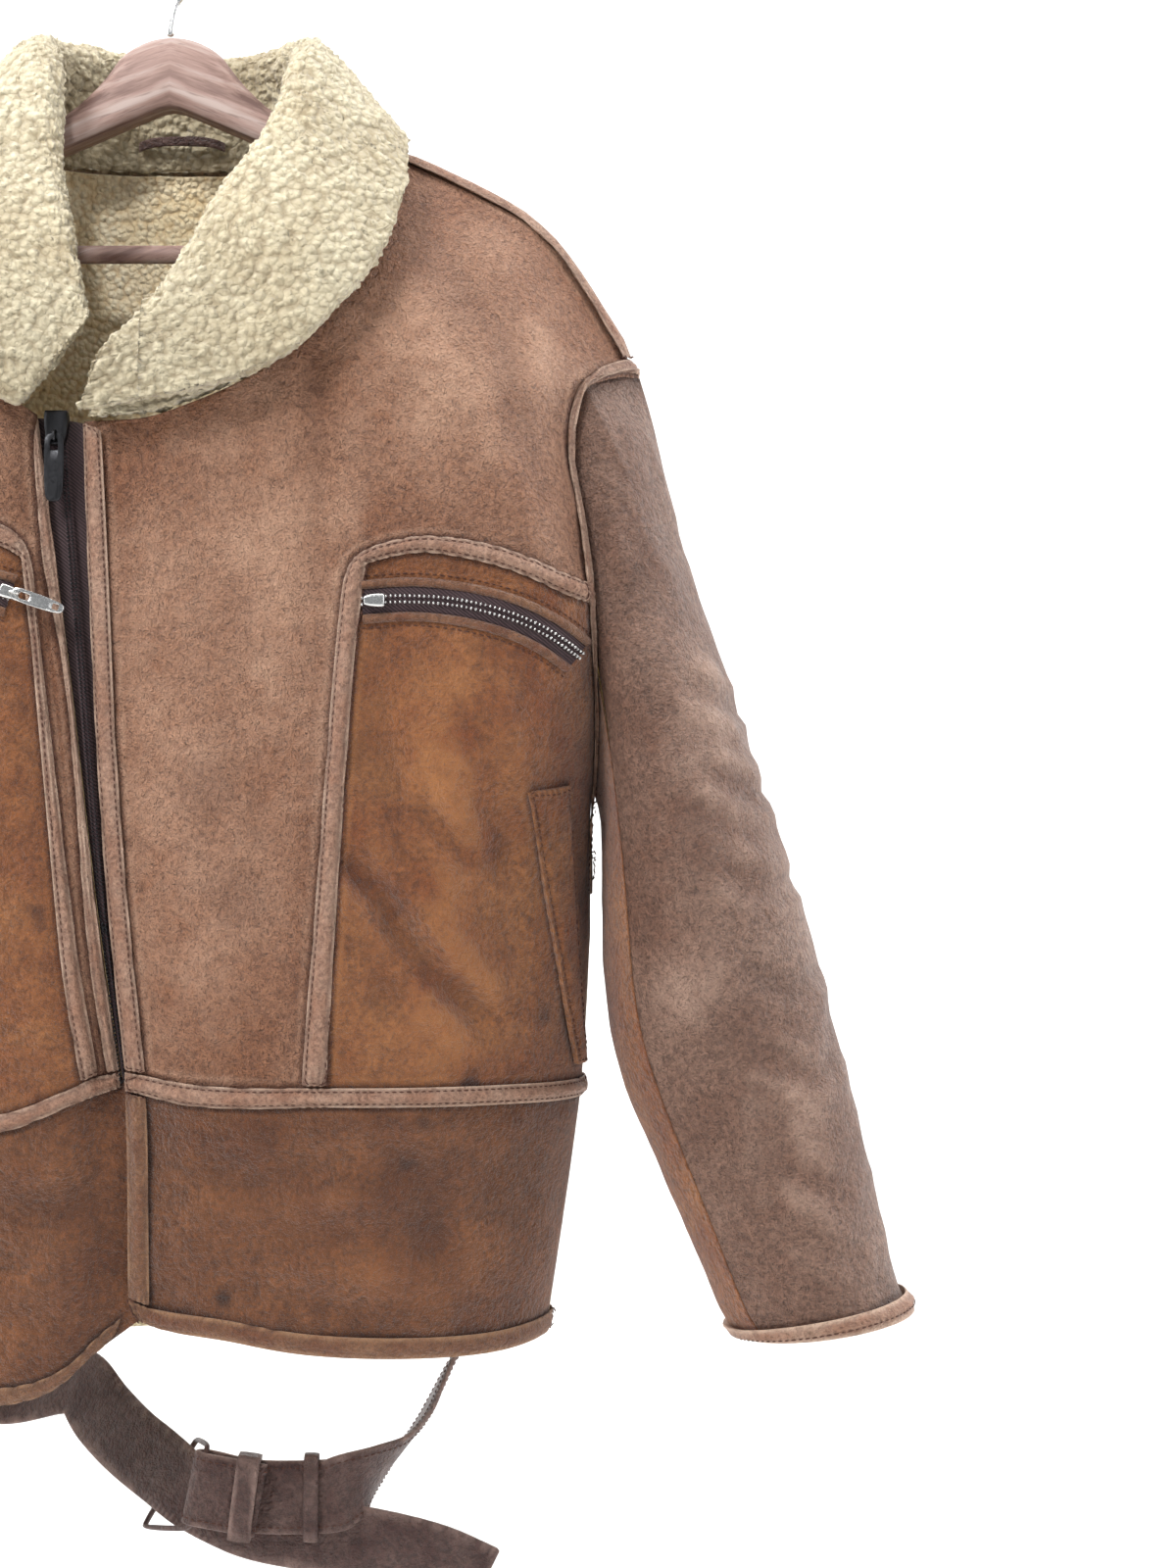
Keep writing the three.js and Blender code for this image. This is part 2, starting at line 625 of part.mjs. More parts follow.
/** Lines of a panel's points that start at one of its borders and run across it. */
function linesFrom(panel, border) {
  const { outer, into } = panel;
  const node = (i, j) => ({ at: outer[i][j], into: into[i][j] });
  const rows = Array.from(outer, (_, k) => k);
  const columns = Array.from(outer[0], (_, k) => k);
  const lastRow = rows.length - 1;
  const lastColumn = columns.length - 1;
  if (border === 'low') return rows.map((i) => columns.map((j) => node(i, j)));
  if (border === 'high') return rows.map((i) => columns.map((j) => node(i, lastColumn - j)));
  if (border === 'start') return columns.map((j) => rows.map((i) => node(i, j)));
  return columns.map((j) => rows.map((i) => node(lastRow - i, j)));
}

const betweenNodes = (p, q, t) => ({ at: p.at.clone().lerp(q.at, t), into: p.into.clone().lerp(q.into,
  t).normalize() });
const middleNode = (p, q) => betweenNodes(p, q, 0.5);

/** Pairs of points at a panel's start and high borders and one step in, round the corner between them. */
function roundCorner(panel) {
  const start = linesFrom(panel, 'start');
  const high = linesFrom(panel, 'high');
  const last = start.length - 1;
  const inside = start.slice(0, last).map((line) => line[1]);
  const corner = inside[last - 1];
  const across = high.slice(1).map((line) => line[1]);
  inside[last - 1] = middleNode(inside[last - 2], corner);
  across[0] = middleNode(corner, across[1]);
  return [
    ...inside.map((node, k) => [start[k][0], node]),
    [start[last][0], corner],
    ...across.map((node, k) => [high[k + 1][0], node]),
  ];
}

/** Strip over a seam: from one step in on one panel, over the seam, to one step in on the other. */
const seamRows = (first, second) => first.map((line, k) => [line[1], middleNode(line[0], second[k][0]),
  second[k][1]]);

/** Raised strip laid on rows of a panel's own points, moved out. */
function stripGeometry(rows, ring = false, share = () => 1) {
  const lift = (node, distance) => node.at.clone().addScaledVector(node.into, -distance);
  const base = (k) => STRIP_LIFT + THIN_RAISE * (1 - share(k));
  const low = rows.map((row, k) => row.map((node) => lift(node, base(k))));
  const high = rows.map((row, k) => row.map((node, j) => {
    const inside = j > 0 && j < row.length - 1;
    return lift(node, base(k) + STRIP_THICK * share(k) * (inside ? 1 : STRIP_EDGE));
  }));
  return wallGeometry(high, low, ring);
}

/** Cuts a length off the first row or the last row of a strip. */
function trimRows(rows, fromStart, fromEnd) {
  const shorten = (list, length) => {
    const middle = Math.floor(list[0].length / 2);
    const share = length / list[0][middle].at.distanceTo(list[1][middle].at);
    return [list[0].map((node, j) => betweenNodes(node, list[1][j], share)), ...list.slice(1)];
  };
  const shortened = fromStart > 0 ? shorten(rows, fromStart) : rows;
  return fromEnd > 0 ? shorten(shortened.slice().reverse(), fromEnd).reverse() : shortened;
}

// Materials

const finish = (color, roughness, metalness = 0) => new THREE.MeshStandardMaterial({ color, roughness,
  metalness });
const NAPPA = finish(0xb98a6c, 0.62);
const SUEDE = finish(0x9a5c34, 0.9);
const STRIP_LEATHER = finish(0xae8062, 0.6);
const SUEDE_STRIP = finish(0xa5673f, 0.85);
const WOOL = finish(0xd9c79a, 0.95);
const BELT_LEATHER = finish(0x5e3a33, 0.6);
const TAPE = finish(0x3c2a30, 0.85);
const BLACK_METAL = finish(0x2c2c2c, 0.35, 0.9);
const SILVER = finish(0xb8b8b6, 0.3, 0.95);
const BEECH = finish(0xb98563, 0.5);
const STEEL = finish(0xc4c4c4, 0.25, 1);

const jacket = new THREE.Group();
jacket.name = 'sheepskin_flying_jacket';

function add(name, geometry, material, parent = jacket) {
  const mesh = new THREE.Mesh(geometry, material);
  mesh.name = name;
  parent.add(mesh);
  return mesh;
}

// Fronts

const CHEST_UP = 10;
const CHEST_NECK = 8;
const CHEST_RIDGE = 7;
const CHEST_ACROSS = 7;
const ARMHOLE_LOW = 5;
const SIDE_ROWS = 8;
const TOP_COLUMNS = CHEST_UP + CHEST_NECK + CHEST_RIDGE - SIDE_ROWS;
const SKIRT_ROWS = 5;
const ROUND_STEPS = [8, 17];
const NECK_STEPS = [9];
const FOOT_REACH = 3;
const SHOULDER_START = 13; // where the shoulder's strip starts, from the neck point
const NECK_RELAX = 2; // ridge rows by the neck point that are drawn clear of the neck
const RELAX_TURNS = 12;
const NECK_FREE = 3; // rows under the neck point that are evenly divided

/** Piece of the armhole and side seam line between two heights, on either side. */
function edgePiece(edge, side, fromZ, toZ) {
  const onLine = (z) => {
    const k = edge.findIndex((row, i) =>
      i > 0 && row.z <= z && edge[i - 1].z >= z && row.z < edge[i - 1].z);
    const t = (edge[k - 1].z - z) / (edge[k - 1].z - edge[k].z);
    return { k, point: mixPoint(edge[k - 1], edge[k], t) };
  };
  const first = fromZ === null ? { k: 1, point: edge[0] } : onLine(fromZ);
  const last = onLine(toZ);
  return [first.point, ...edge.slice(first.k, last.k), last.point].map((p) => ({ x: side * p.x, z: p.z }));
}

/** The shoulder ridge from the neck to the armhole. */
function ridgePath(side) {
  const path = even(48).map((t) => {
    const x = mix(NECK_POINT_X, SHOULDER_END_X, t);
    return { x: side * x, z: ridgeHeight(x) };
  });
  path[path.length - 1] = { x: side * SHOULDER_END_X, z: frontEdge[0].z };
  return path;
}

/** Outlines, panels and strips of one front. */
function buildFront(lines, name) {
  const { side } = lines;
  const narrow = side < 0;
  const surface = narrow ? FRONT_LAPPED : FRONT;
  const armholeTop = spaceLine(surface, edgePiece(frontEdge, side, null, lines.trimEndZ), CHEST_ACROSS,
    SHOULDER_STEPS, [TRIM_HALF[1]]);
  const armholeLow = spaceLine(surface, edgePiece(frontEdge, side, lines.trimEndZ, UNDERARM_Z),
    ARMHOLE_LOW, [TRIM_HALF[1]]);
  const trimEnd = armholeTop[CHEST_ACROSS];

  const zipEdge = spaceLine(surface, curve(lines.zipEdge), CHEST_UP, [WAIST_HALF]);
  const neck = spaceLine(surface, curve(lines.neck), CHEST_NECK);
  const ridge = spaceLine(surface, ridgePath(side), CHEST_RIDGE, [SHOULDER_START], ARMHOLE_STEPS);
  const outside = [...zipEdge, ...neck.slice(1), ...ridge.slice(1)];

  const trim = spaceLine(surface, curve(lines.trim), SIDE_ROWS, [WAIST_HALF], ROUND_STEPS);
  const top = spaceLine(surface, curve([...lines.top, [trimEnd.x, trimEnd.z]]), TOP_COLUMNS,
    ROUND_STEPS, ARMHOLE_STEPS);
  const inside = [...trim, ...top.slice(1)];

  const waistPath = curve(lines.waist);
  const waistEnd = edgePiece(frontEdge, side, lines.waistZ, lines.waistZ - 1)[0];
  const split = lines.waistSplit * 8;
  const chestFoot = spaceLine(surface, [zipEdge[0], ...waistPath.slice(1, split), trim[0]], CHEST_ACROSS,
    PLACKET_STEPS, [TRIM_HALF[0]]);
  const sideFoot = spaceLine(surface, [trim[0], ...waistPath.slice(split + 1), waistEnd],
    TOP_COLUMNS, [TRIM_HALF[0]], ARMHOLE_STEPS);

  const chestGrid = ruledPatch(outside, inside, chestFoot, armholeTop, FOOT_REACH, CHEST_RIDGE);
  const ridgeFrom = CHEST_UP + CHEST_NECK;
  relaxRows(chestGrid, CHEST_UP + 1, ridgeFrom + NECK_RELAX, RELAX_TURNS);
  const outsideSteps = (i) => {
    if (i <= CHEST_UP) return PLACKET_STEPS;
    if (i < ridgeFrom - NECK_FREE) return NECK_STEPS;
    return i < ridgeFrom ? [] : SHOULDER_STEPS;
  };
  spaceColumns(surface, chestGrid, outsideSteps, (i) => [mix(TRIM_HALF[0], TRIM_HALF[1],
    clamp01(i / SIDE_ROWS))]);
  midRow(chestGrid, ridgeFrom);
  const chest = layPanel(surface, chestGrid, (i) => i === outside.length - 1);

  const sideSeam = spaceLine(surface, edgePiece(frontEdge, side, UNDERARM_Z, lines.waistZ),
    SIDE_ROWS - ARMHOLE_LOW, [], [WAIST_HALF]);
  const sideEnd = [...armholeLow, ...sideSeam.slice(1)].reverse();
  const sideGrid = patch(sideFoot, top, trim, sideEnd);
  spaceRows(surface, sideGrid, [TRIM_HALF[1]], ARMHOLE_STEPS);
  spaceColumns(surface, sideGrid, () => [WAIST_HALF], () => [TRIM_HALF[1]]);
  const sideFront = layPanel(surface, sideGrid, (i,
    j) => i === sideFoot.length - 1 && j >= SIDE_ROWS - ARMHOLE_LOW);

  const extra = narrow ? spaceLine(surface, flat([lines.frontEdge[0], lines.waist[0]]), 2).slice(0, 2) : [];
  const bandTop = [...extra, ...chestFoot, ...sideFoot.slice(1)];
  const frontDown = spaceLine(surface, curve(lines.frontEdge).reverse(), SKIRT_ROWS, [HEM_WIDTH],
    [WAIST_HALF]);
  const hemEnd = edgePiece(frontEdge, side, lines.hemZ, lines.hemZ - 1)[0];
  const hem = spaceLine(surface, curve([...lines.hem, [hemEnd.x, hemEnd.z]]), bandTop.length - 1,
    PLACKET_STEPS, ARMHOLE_STEPS);
  const bandSide = spaceLine(surface, edgePiece(frontEdge, side, lines.waistZ, lines.hemZ).reverse(),
    SKIRT_ROWS, [HEM_WIDTH], [WAIST_HALF]);
  const bandGrid = patch(hem, bandTop, frontDown, bandSide);
  spaceColumns(surface, bandGrid, () => [HEM_WIDTH], () => [WAIST_HALF]);
  const band = layPanel(surface, bandGrid);

  add(`chest_panel_${name}`, wallGeometry(chest.outer, chest.inner), NAPPA);
  add(`side_front_${name}`, wallGeometry(sideFront.outer, sideFront.inner), SUEDE);
  add(`hem_band_${name}`, wallGeometry(band.outer, band.inner), SUEDE);
  return { lines, name, surface, chest, sideFront, band, extra: extra.length, armholeTop, armholeLow,
    ridge };
}

const left = buildFront(LEFT, 'left');
const right = buildFront(RIGHT, 'right');

// Back

const BACK_NECK_STEPS = 8;
const BACK_COLUMNS = 2 * CHEST_RIDGE + BACK_NECK_STEPS;
const BACK_ARMHOLE = 9;
const BACK_SEAM = 5;
const backNeck = spaceLine(BACK, curve(BACK_NECK), BACK_NECK_STEPS);
const backTop = [...right.ridge.slice().reverse(), ...backNeck.slice(1), ...left.ridge.slice(1)];

/** Side of the back panel, bottom to top: side seam, then armhole. */
function backSide(side, waistZ) {
  const armhole = spaceLine(BACK, edgePiece(backEdge, side, null, UNDERARM_Z), BACK_ARMHOLE,
    SHOULDER_STEPS);
  const seam = spaceLine(BACK, edgePiece(frontEdge, side, UNDERARM_Z, waistZ), BACK_SEAM, [], [WAIST_HALF]);
  return [...armhole, ...seam.slice(1)].reverse();
}

/** Side seam of a hem band, bottom to top. */
const skirtSide = (lines) => spaceLine(BACK,
  edgePiece(frontEdge, lines.side, lines.waistZ, lines.hemZ).reverse(), SKIRT_ROWS, [HEM_WIDTH],
    [WAIST_HALF]);

const backLeftSide = backSide(1, LEFT.waistZ);
const backRightSide = backSide(-1, RIGHT.waistZ);
const bandLeftSide = skirtSide(LEFT);
const bandRightSide = skirtSide(RIGHT);
const backWaist = spaceLine(BACK, [backRightSide[0], backLeftSide[0]], BACK_COLUMNS, ARMHOLE_STEPS,
  ARMHOLE_STEPS);
const backHem = spaceLine(BACK, [bandRightSide[0], bandLeftSide[0]], BACK_COLUMNS, ARMHOLE_STEPS,
  ARMHOLE_STEPS);
const backGrid = patch(backWaist, backTop, backRightSide, backLeftSide);
spaceRows(BACK, backGrid, ARMHOLE_STEPS, ARMHOLE_STEPS);
spaceColumns(BACK, backGrid, () => [WAIST_HALF], () => SHOULDER_STEPS);
const back = layPanel(BACK, backGrid, (i, j) => (i === 0 || i === BACK_COLUMNS) && j >= BACK_SEAM);
const backBandGrid = patch(backHem, backWaist, bandRightSide, bandLeftSide);
spaceColumns(BACK, backBandGrid, () => [HEM_WIDTH], () => [WAIST_HALF]);
const backBand = layPanel(BACK, backBandGrid);
add('back_panel', wallGeometry(back.outer, back.inner), NAPPA);
add('hem_band_back', wallGeometry(backBand.outer, backBand.inner), SUEDE);

// Raised strips

const STRIP_GAP = 1; // between the ends of strips that meet
const ARMHOLE_INSET = 0.4; // share of the first step by which the strip stays off the seam
const UNDERARM_GAP = 9; // the strip's ends stay this far from the underarm point
const UNDERARM_THIN = 0.4; // share of the strip's thickness left between body and sleeve there

/** Strips of one front. */
function frontStrips(front) {
  const { name, surface, chest, sideFront, band, extra, lines } = front;
  const chestInside = linesFrom(chest, 'high');
  const chestOutside = linesFrom(chest, 'low');
  const last = chestInside.length - 1 - ARMHOLE_COLUMNS;
  const trim = roundCorner(sideFront).map((pair, k) => [pair[1], middleNode(pair[0],
    chestInside[k][0]), chestInside[k][1]]);
  add(`pocket_trim_${name}`, stripGeometry(trimRows(trim.slice(1, last + 1), STRIP_GAP, STRIP_GAP)),
    STRIP_LEATHER);

  const placket = chestOutside.slice(1, CHEST_UP + 1).map((line) => line.slice(0, 3));
  add(`placket_strip_${name}`, stripGeometry(trimRows(placket, STRIP_GAP, STRIP_GAP)), STRIP_LEATHER);

  const feet = [...linesFrom(chest, 'start'), ...linesFrom(sideFront, 'low').slice(1)];
  const heads = linesFrom(band, 'high').slice(extra);
  add(`waist_strip_${name}`, stripGeometry(seamRows(feet, heads)), STRIP_LEATHER);

  const hem = linesFrom(band, 'low').slice(surface.lap ? 3 : 0).map((line) => line.slice(0, 2));
  add(`hem_strip_${name}`, stripGeometry(hem), SUEDE_STRIP);
  if (!surface.lap) {
    const frontEdgeRows = linesFrom(band, 'start').slice(1, SKIRT_ROWS).map((line) => line.slice(0, 3));
    add(`front_edge_${name}`, stripGeometry(trimRows(frontEdgeRows, STRIP_GAP, STRIP_GAP)), SUEDE_STRIP);
  }

  const shoulder = chestOutside.slice(CHEST_UP + CHEST_NECK + 1, last + 1).map((line) => line.slice(0, 3));
  add(`shoulder_strip_${name}`, stripGeometry(trimRows(shoulder, STRIP_GAP, STRIP_GAP)), STRIP_LEATHER);

  const frontTop = linesFrom(chest, 'end');
  const frontLow = linesFrom(sideFront, 'end').slice(SIDE_ROWS - ARMHOLE_LOW, SIDE_ROWS).reverse();
  const backUp = linesFrom(back, lines.side > 0 ? 'end' : 'start').slice(BACK_SEAM)
    .map((line) => line.slice(0, ARMHOLE_COLUMNS + 1));
  const atRidge = backUp.pop().map((node, j) => middleNode(node, frontTop[0][j]));
  const around = [...backUp, atRidge, ...[...frontTop.slice(1),
    ...frontLow].map((line) => line.slice(0, ARMHOLE_COLUMNS + 1))]
    .map(([edge, next, ...rest]) => [betweenNodes(edge, next, ARMHOLE_INSET), next, ...rest]);
  const thinFrom = around.length - frontLow.length + 1;
  add(`armhole_strip_${name}`, stripGeometry(trimRows(around, UNDERARM_GAP, UNDERARM_GAP), false,
    (k) => (k < 2 || k >= thinFrom ? UNDERARM_THIN : 1)), STRIP_LEATHER);
}

[left, right].forEach(frontStrips);
add('waist_strip_back', stripGeometry(seamRows(linesFrom(back, 'low'), linesFrom(backBand, 'high'))),
  STRIP_LEATHER);
add('hem_strip_back', stripGeometry(linesFrom(backBand, 'low').map((line) => line.slice(0, 2))),
  SUEDE_STRIP);

// Sleeves

const FRONT_SEGMENTS = CHEST_ACROSS + ARMHOLE_LOW;
const RING = FRONT_SEGMENTS + BACK_ARMHOLE;
const UNDER_FRONT = 3;
const UNDER_BACK = 2;

/** Panels and cuff strip of one sleeve. */
function buildSleeve(front, backLine, name) {
  const { side } = front.lines;
  const frontLoop = [...front.armholeTop, ...front.armholeLow.slice(1)].map((p) => onBody(FRONT, p));
  const backLoop = backLine.slice(BACK_SEAM).map((p) => onBody(BACK, p));
  const loop = [...frontLoop, ...backLoop.slice(1, -1)];
  loop[0].y = 0;
  loop[FRONT_SEGMENTS].y = 0;
  const ellipse = (row) => loop.map((_, k) => {
    const turn = k <= FRONT_SEGMENTS ? k / FRONT_SEGMENTS : 1 + (k - FRONT_SEGMENTS) / BACK_ARMHOLE;
    const half = (1 - Math.cos(Math.PI * turn)) / 2;
    return vector(side * mix(row.outX, row.inX, half), row.y - row.half * Math.sin(Math.PI * turn),
      mix(row.outZ, row.inZ, half));
  });
  const base = ellipse(SLEEVE[0]);
  const outer = SLEEVE.map((row, r) => ellipse(row).map((p, k) =>
    p.add(loop[k].clone().sub(base[k]).multiplyScalar(ARMHOLE_BLEND[r] ?? 0))));
  const inner = outer.map((ring, r) => {
    const centre = r === 0 ? ARMHOLE_CENTRE.clone().multiply(vector(side, 1, 1))
      : ring.reduce((sum, p) => sum.add(p), vector(0, 0, 0)).divideScalar(RING);
    return ring.map((p) => p.clone().addScaledVector(centre.clone().sub(p).normalize(), WALL));
  });
  const part = (grid, from, count) => grid.map((ring) =>
    Array.from({ length: count + 1 }, (_, k) => ring[(from + k + RING) % RING].clone()));
  const underFrom = FRONT_SEGMENTS - UNDER_FRONT;
  const underCount = UNDER_FRONT + UNDER_BACK;
  [['outer', underFrom + underCount, RING - underCount, NAPPA], ['under', underFrom, underCount, SUEDE]]
    .forEach(([label, from, count, material]) => {
      const skin = part(outer, from, count);
      const lining = part(inner, from, count);
      insetEdges(skin, SEAM);
      insetEdges(lining, SEAM);
      add(`sleeve_${label}_${name}`, wallGeometry(skin, lining), material);
    });
  const end = outer.length - 1;
  const cuff = outer[end].map((point, k) => {
    const way = outer[end - 1][k].clone().sub(point).normalize();
    const into = inner[end][k].clone().sub(point);
    into.addScaledVector(way, -into.dot(way)).normalize();
    return [{ at: point, into }, { at: point.clone().addScaledVector(way, CUFF_WIDTH), into }];
  });
  add(`cuff_strip_${name}`, stripGeometry(cuff, true), STRIP_LEATHER);
}

buildSleeve(left, backLeftSide, 'left');
buildSleeve(right, backRightSide, 'right');

// Collar

/** One half of the collar: a wall that rises from the neck seam, rolls over and falls outside. */
function buildCollar(rows, side, name) {
  const stations = alongStations(smoothRows(rows, 6), COLLAR_STATIONS);
  const frames = stations.map((row) => {
    const surface = row.back > 0.5 ? BACK : FRONT;
    const root = onBody(surface, { x: row.nx, z: row.nz });
    return { root, head: vector(row.rx, row.ry, row.rz), over: row.over };
  });
  const layers = frames.map((frame, k) => {
    const before = frames[Math.max(k - 1, 0)].root;
    const after = frames[Math.min(k + 1, frames.length - 1)].root;
    const along = after.clone().sub(before).multiplyScalar(side);
    if (k === 0) along.set(1, 0, 0);
    const up = frame.head.clone().sub(frame.root);
    const height = up.length();
    up.normalize();
    const out = vector(0, 0, 0).crossVectors(up, along).normalize();
    const profile = collarProfile(height, frame.over);
    const place = (p) => frame.root.clone().addScaledVector(up, p.up).addScaledVector(out, p.out);
    return {
      wool: profile.map((p) => place({ up: p.up + p.nu * COLLAR_WALL / 2,
        out: p.out + p.no * COLLAR_WALL / 2 })),
      skin: profile.map((p) => place({ up: p.up - p.nu * COLLAR_WALL / 2,
        out: p.out - p.no * COLLAR_WALL / 2 })),
    };
  });
  layers[0].wool.concat(layers[0].skin).forEach((p) => { p.x = (side * SEAM) / 2; });
  add(`collar_${name}`, wallGeometry(layers.map((l) => l.wool), layers.map((l) => l.skin)), WOOL);
}

/** Section line of the collar from its root over the roll to the edge of the fall, with its wool side. */
function collarProfile(height, over) {
  const rootGap = 2.2;
  const stand = even(3).map((t) => ({ up: mix(rootGap, height, t), out: 0, nu: 0, no: -1 }));
  const roll = even(4).slice(1).map((t) => {
    const angle = Math.PI * (1 - t);
    return {
      up: height + ROLL_RADIUS * Math.sin(angle),
      out: ROLL_RADIUS + ROLL_RADIUS * Math.cos(angle),
      nu: Math.sin(angle),
      no: Math.cos(angle),
    };
  });
  const fall = even(3).slice(1).map((t) => ({ up: mix(height, -over, t), out: 2 * ROLL_RADIUS, nu: 0,
    no: 1 }));
  return [...stand, ...roll, ...fall];
}

/** Rows of the collar's table at even steps of length along the neck seam. */
function alongStations(rows, count) {
  const reach = [0];
  for (let k = 1; k < rows.length; k += 1) {
    reach.push(reach[k - 1] + Math.hypot(rows[k].rx - rows[k - 1].rx, rows[k].ry - rows[k - 1].ry,
      rows[k].rz - rows[k - 1].rz));
  }
  return even(count - 1).map((share) => {
    const want = share * reach[reach.length - 1];
    let k = 1;
    while (k < rows.length - 1 && reach[k] < want) k += 1;
    const t = clamp01((want - reach[k - 1]) / (reach[k] - reach[k - 1]));
    return Object.fromEntries(Object.keys(rows[0]).map((key) => [key, mix(rows[k - 1][key],
      rows[k][key], t)]));
  });
}

buildCollar(COLLAR_LEFT, 1, 'left');
buildCollar(COLLAR_RIGHT, -1, 'right');

// Hanger

const ARM_SECTION = [[-1, 0], [-1, 0.45], [-0.8, 0.74], [-0.45, 0.93], [-0.1, 1], [0.1, 1], [0.45,
  0.93], [0.8, 0.74],
  [1, 0.45], [1, 0]];
const ARM_CLEAR = 0.6; // under the cloth
const ARM_END_DROP = 5;
const ARM_STATIONS = [203, 196, 185, 165, 145, 130, 118, 100, 80, 61, 48, 37, 30, 22, 12, 0];
const HOOK_STEM = [[-1, -61.6], [-0.8, -57], [0, -52], [2.6, -41], [8, -36], [14, -31.4], [18.6, -25]];
const HOOK_CENTRE_Z = -18;
const HOOK_STEPS = 14;
const HOOK_TURN = (213 * Math.PI) / 180;
const WIRE_SIDES = 8;
const BAR_HALF = 186.6;

/** Round wire along a path that lies near one plane. */
function wireGeometry(path, normal, radius, closed = false) {
  const last = path.length - 1;
  const rings = path.map((point, k) => {
    const before = closed ? path[(k + last) % path.length] : path[Math.max(k - 1, 0)];
    const after = closed ? path[(k + 1) % path.length] : path[Math.min(k + 1, last)];
    const along = after.clone().sub(before).normalize();
    const across = along.clone().cross(normal).normalize();
    const up = across.clone().cross(along);
    return Array.from({ length: WIRE_SIDES }, (_, s) => {
      const angle = (2 * Math.PI * s) / WIRE_SIDES;
      return point.clone().addScaledVector(across, radius * Math.cos(angle)).addScaledVector(up,
        radius * Math.sin(angle));
    });
  });
  if (!closed) return loftGeometry(rings);
  const count = WIRE_SIDES;
  const faces = rings.flatMap((_, i) => Array.from({ length: count }, (__, j) => {
    const next = ((i + 1) % rings.length) * count;
    const [a, b, c, d] = [i * count + j, i * count + ((j + 1) % count), next + ((j + 1) % count), next + j];
    return [[a, b, c], [a, c, d]];
  })).flat();
  return facesOut(rings.flat(), faces);
}

const armTop = (x) => {
  const plain = ARM_UNDER - ARM_SLOPE * x + ARM_HEIGHT;
  const block = lookUp(BLOCK_TOP, 'x', 'z', x);
  const high = x < 61 ? Math.max(plain, block) : plain;
  const clear = ARM_CLEAR + ARM_END_DROP * smooth((x - 180) / 20);
  return x > NECK_POINT_X - 25 ? Math.min(high, ridgeHeight(Math.max(x,
    NECK_POINT_X)) - WALL - clear) : high;
};
const armRings = [...ARM_STATIONS, ...ARM_STATIONS.slice(0, -1).reverse().map((x) => -x)].map((x) => {
  const low = ARM_UNDER - ARM_SLOPE * Math.abs(x);
  const high = Math.max(armTop(Math.abs(x)), low + 5);
  const half = (ARM_THICK / 2) * (Math.abs(x) > 200 ? 0.8 : 1);
  return ARM_SECTION.map(([across, up]) => vector(x, across * half, mix(low, high, up)));
});
add('hanger_arms', loftGeometry(armRings), BEECH);

const barRing = (x) => Array.from({ length: 12 }, (_, s) =>
  vector(x, BAR_RADIUS * Math.cos((Math.PI * s) / 6), BAR_Z + BAR_RADIUS * Math.sin((Math.PI * s) / 6)));
add('hanger_bar', loftGeometry([barRing(-BAR_HALF), barRing(BAR_HALF)]), BEECH);

const hookPath = [
  ...HOOK_STEM.map(([x, z]) => vector(x, 0, z)),
  ...even(HOOK_STEPS).map((t) => vector(HOOK_RADIUS * Math.cos(t * HOOK_TURN), 0,
    HOOK_CENTRE_Z + HOOK_RADIUS * Math.sin(t * HOOK_TURN))),
];
add('hanger_hook', wireGeometry(hookPath, vector(0, 1, 0), HOOK_WIRE), STEEL);

// Hang loop inside the back of the collar

const LOOP = { from: -29, to: 23, low: -115, high: -104, y: 55.2, bow: 2.5, thick: 2.2 };
const loopLine = (forward) => even(6).map((t) => {
  const bow = LOOP.bow * (1 - (2 * t - 1) ** 2);
  return [LOOP.low, LOOP.high].map((z) => vector(mix(LOOP.from, LOOP.to, t), LOOP.y - bow - forward, z));
});
add('hang_loop', wallGeometry(loopLine(LOOP.thick), loopLine(0)), STRIP_LEATHER);

// Main zip

const zipSides = Array.from({ length: CHEST_UP + 1 }, (_, k) => {
  const [low, high] = [right, left].map(({ chest }) => {
    const at = chest.outer[k][0];
    return { at, into: chest.inner[k][0].clone().sub(at).normalize() };
  });
  return { low, high, across: high.at.clone().sub(low.at), middle: middleNode(low, high) };
});
const CHAIN_SINK = 0.1; // under the edges beside it
const TAPE_GAP = 0.4;
const tapeLayer = (depth) => zipSides.map(({ low, high, across }) => {
  const way = across.clone().normalize();
  return [
    low.at.clone().addScaledVector(low.into, depth).addScaledVector(way, TAPE_GAP),
    high.at.clone().addScaledVector(high.into, depth).addScaledVector(way, -TAPE_GAP),
  ];
});
add('zip_tape', wallGeometry(tapeLayer(TAPE_RECESS), tapeLayer(TAPE_RECESS + TAPE_THICK)), TAPE);

const chainLayer = (depth) => zipSides.map(({ across, middle }) => {
  const half = Math.min(CHAIN_WIDTH, across.length() - 4) / 2;
  const way = across.clone().normalize();
  const at = middle.at.clone().addScaledVector(middle.into, depth);
  return [at.clone().addScaledVector(way, -half), at.addScaledVector(way, half)];
});
add('zip_chain', wallGeometry(chainLayer(CHAIN_SINK), chainLayer(CHAIN_SINK + CHAIN_THICK)), BLACK_METAL);

/** Places a shape drawn in a slider's own axes: across, up along the zip, and out. */
function placeOn(geometry, origin, up, out) {
  const across = vector(0, 0, 0).crossVectors(up, out).normalize();
  geometry.applyMatrix4(new THREE.Matrix4().makeBasis(across, up, out).setPosition(origin));
  return geometry;
}

/** Slider body with its sides narrowed towards the closed end. */
function sliderGeometry(width, length, thick, lift) {
  const ring = (y, half) => [[-half, lift], [-half * 0.9, lift + thick], [half * 0.9, lift + thick],
    [half, lift]]
    .map(([x, z]) => vector(x, y, z));
  return loftGeometry([
    ring(-length / 2, 0.3 * width), ring(-0.3 * length, 0.42 * width), ring(0.2 * length, width / 2),
      ring(length / 2, 0.46 * width),
  ]);
}

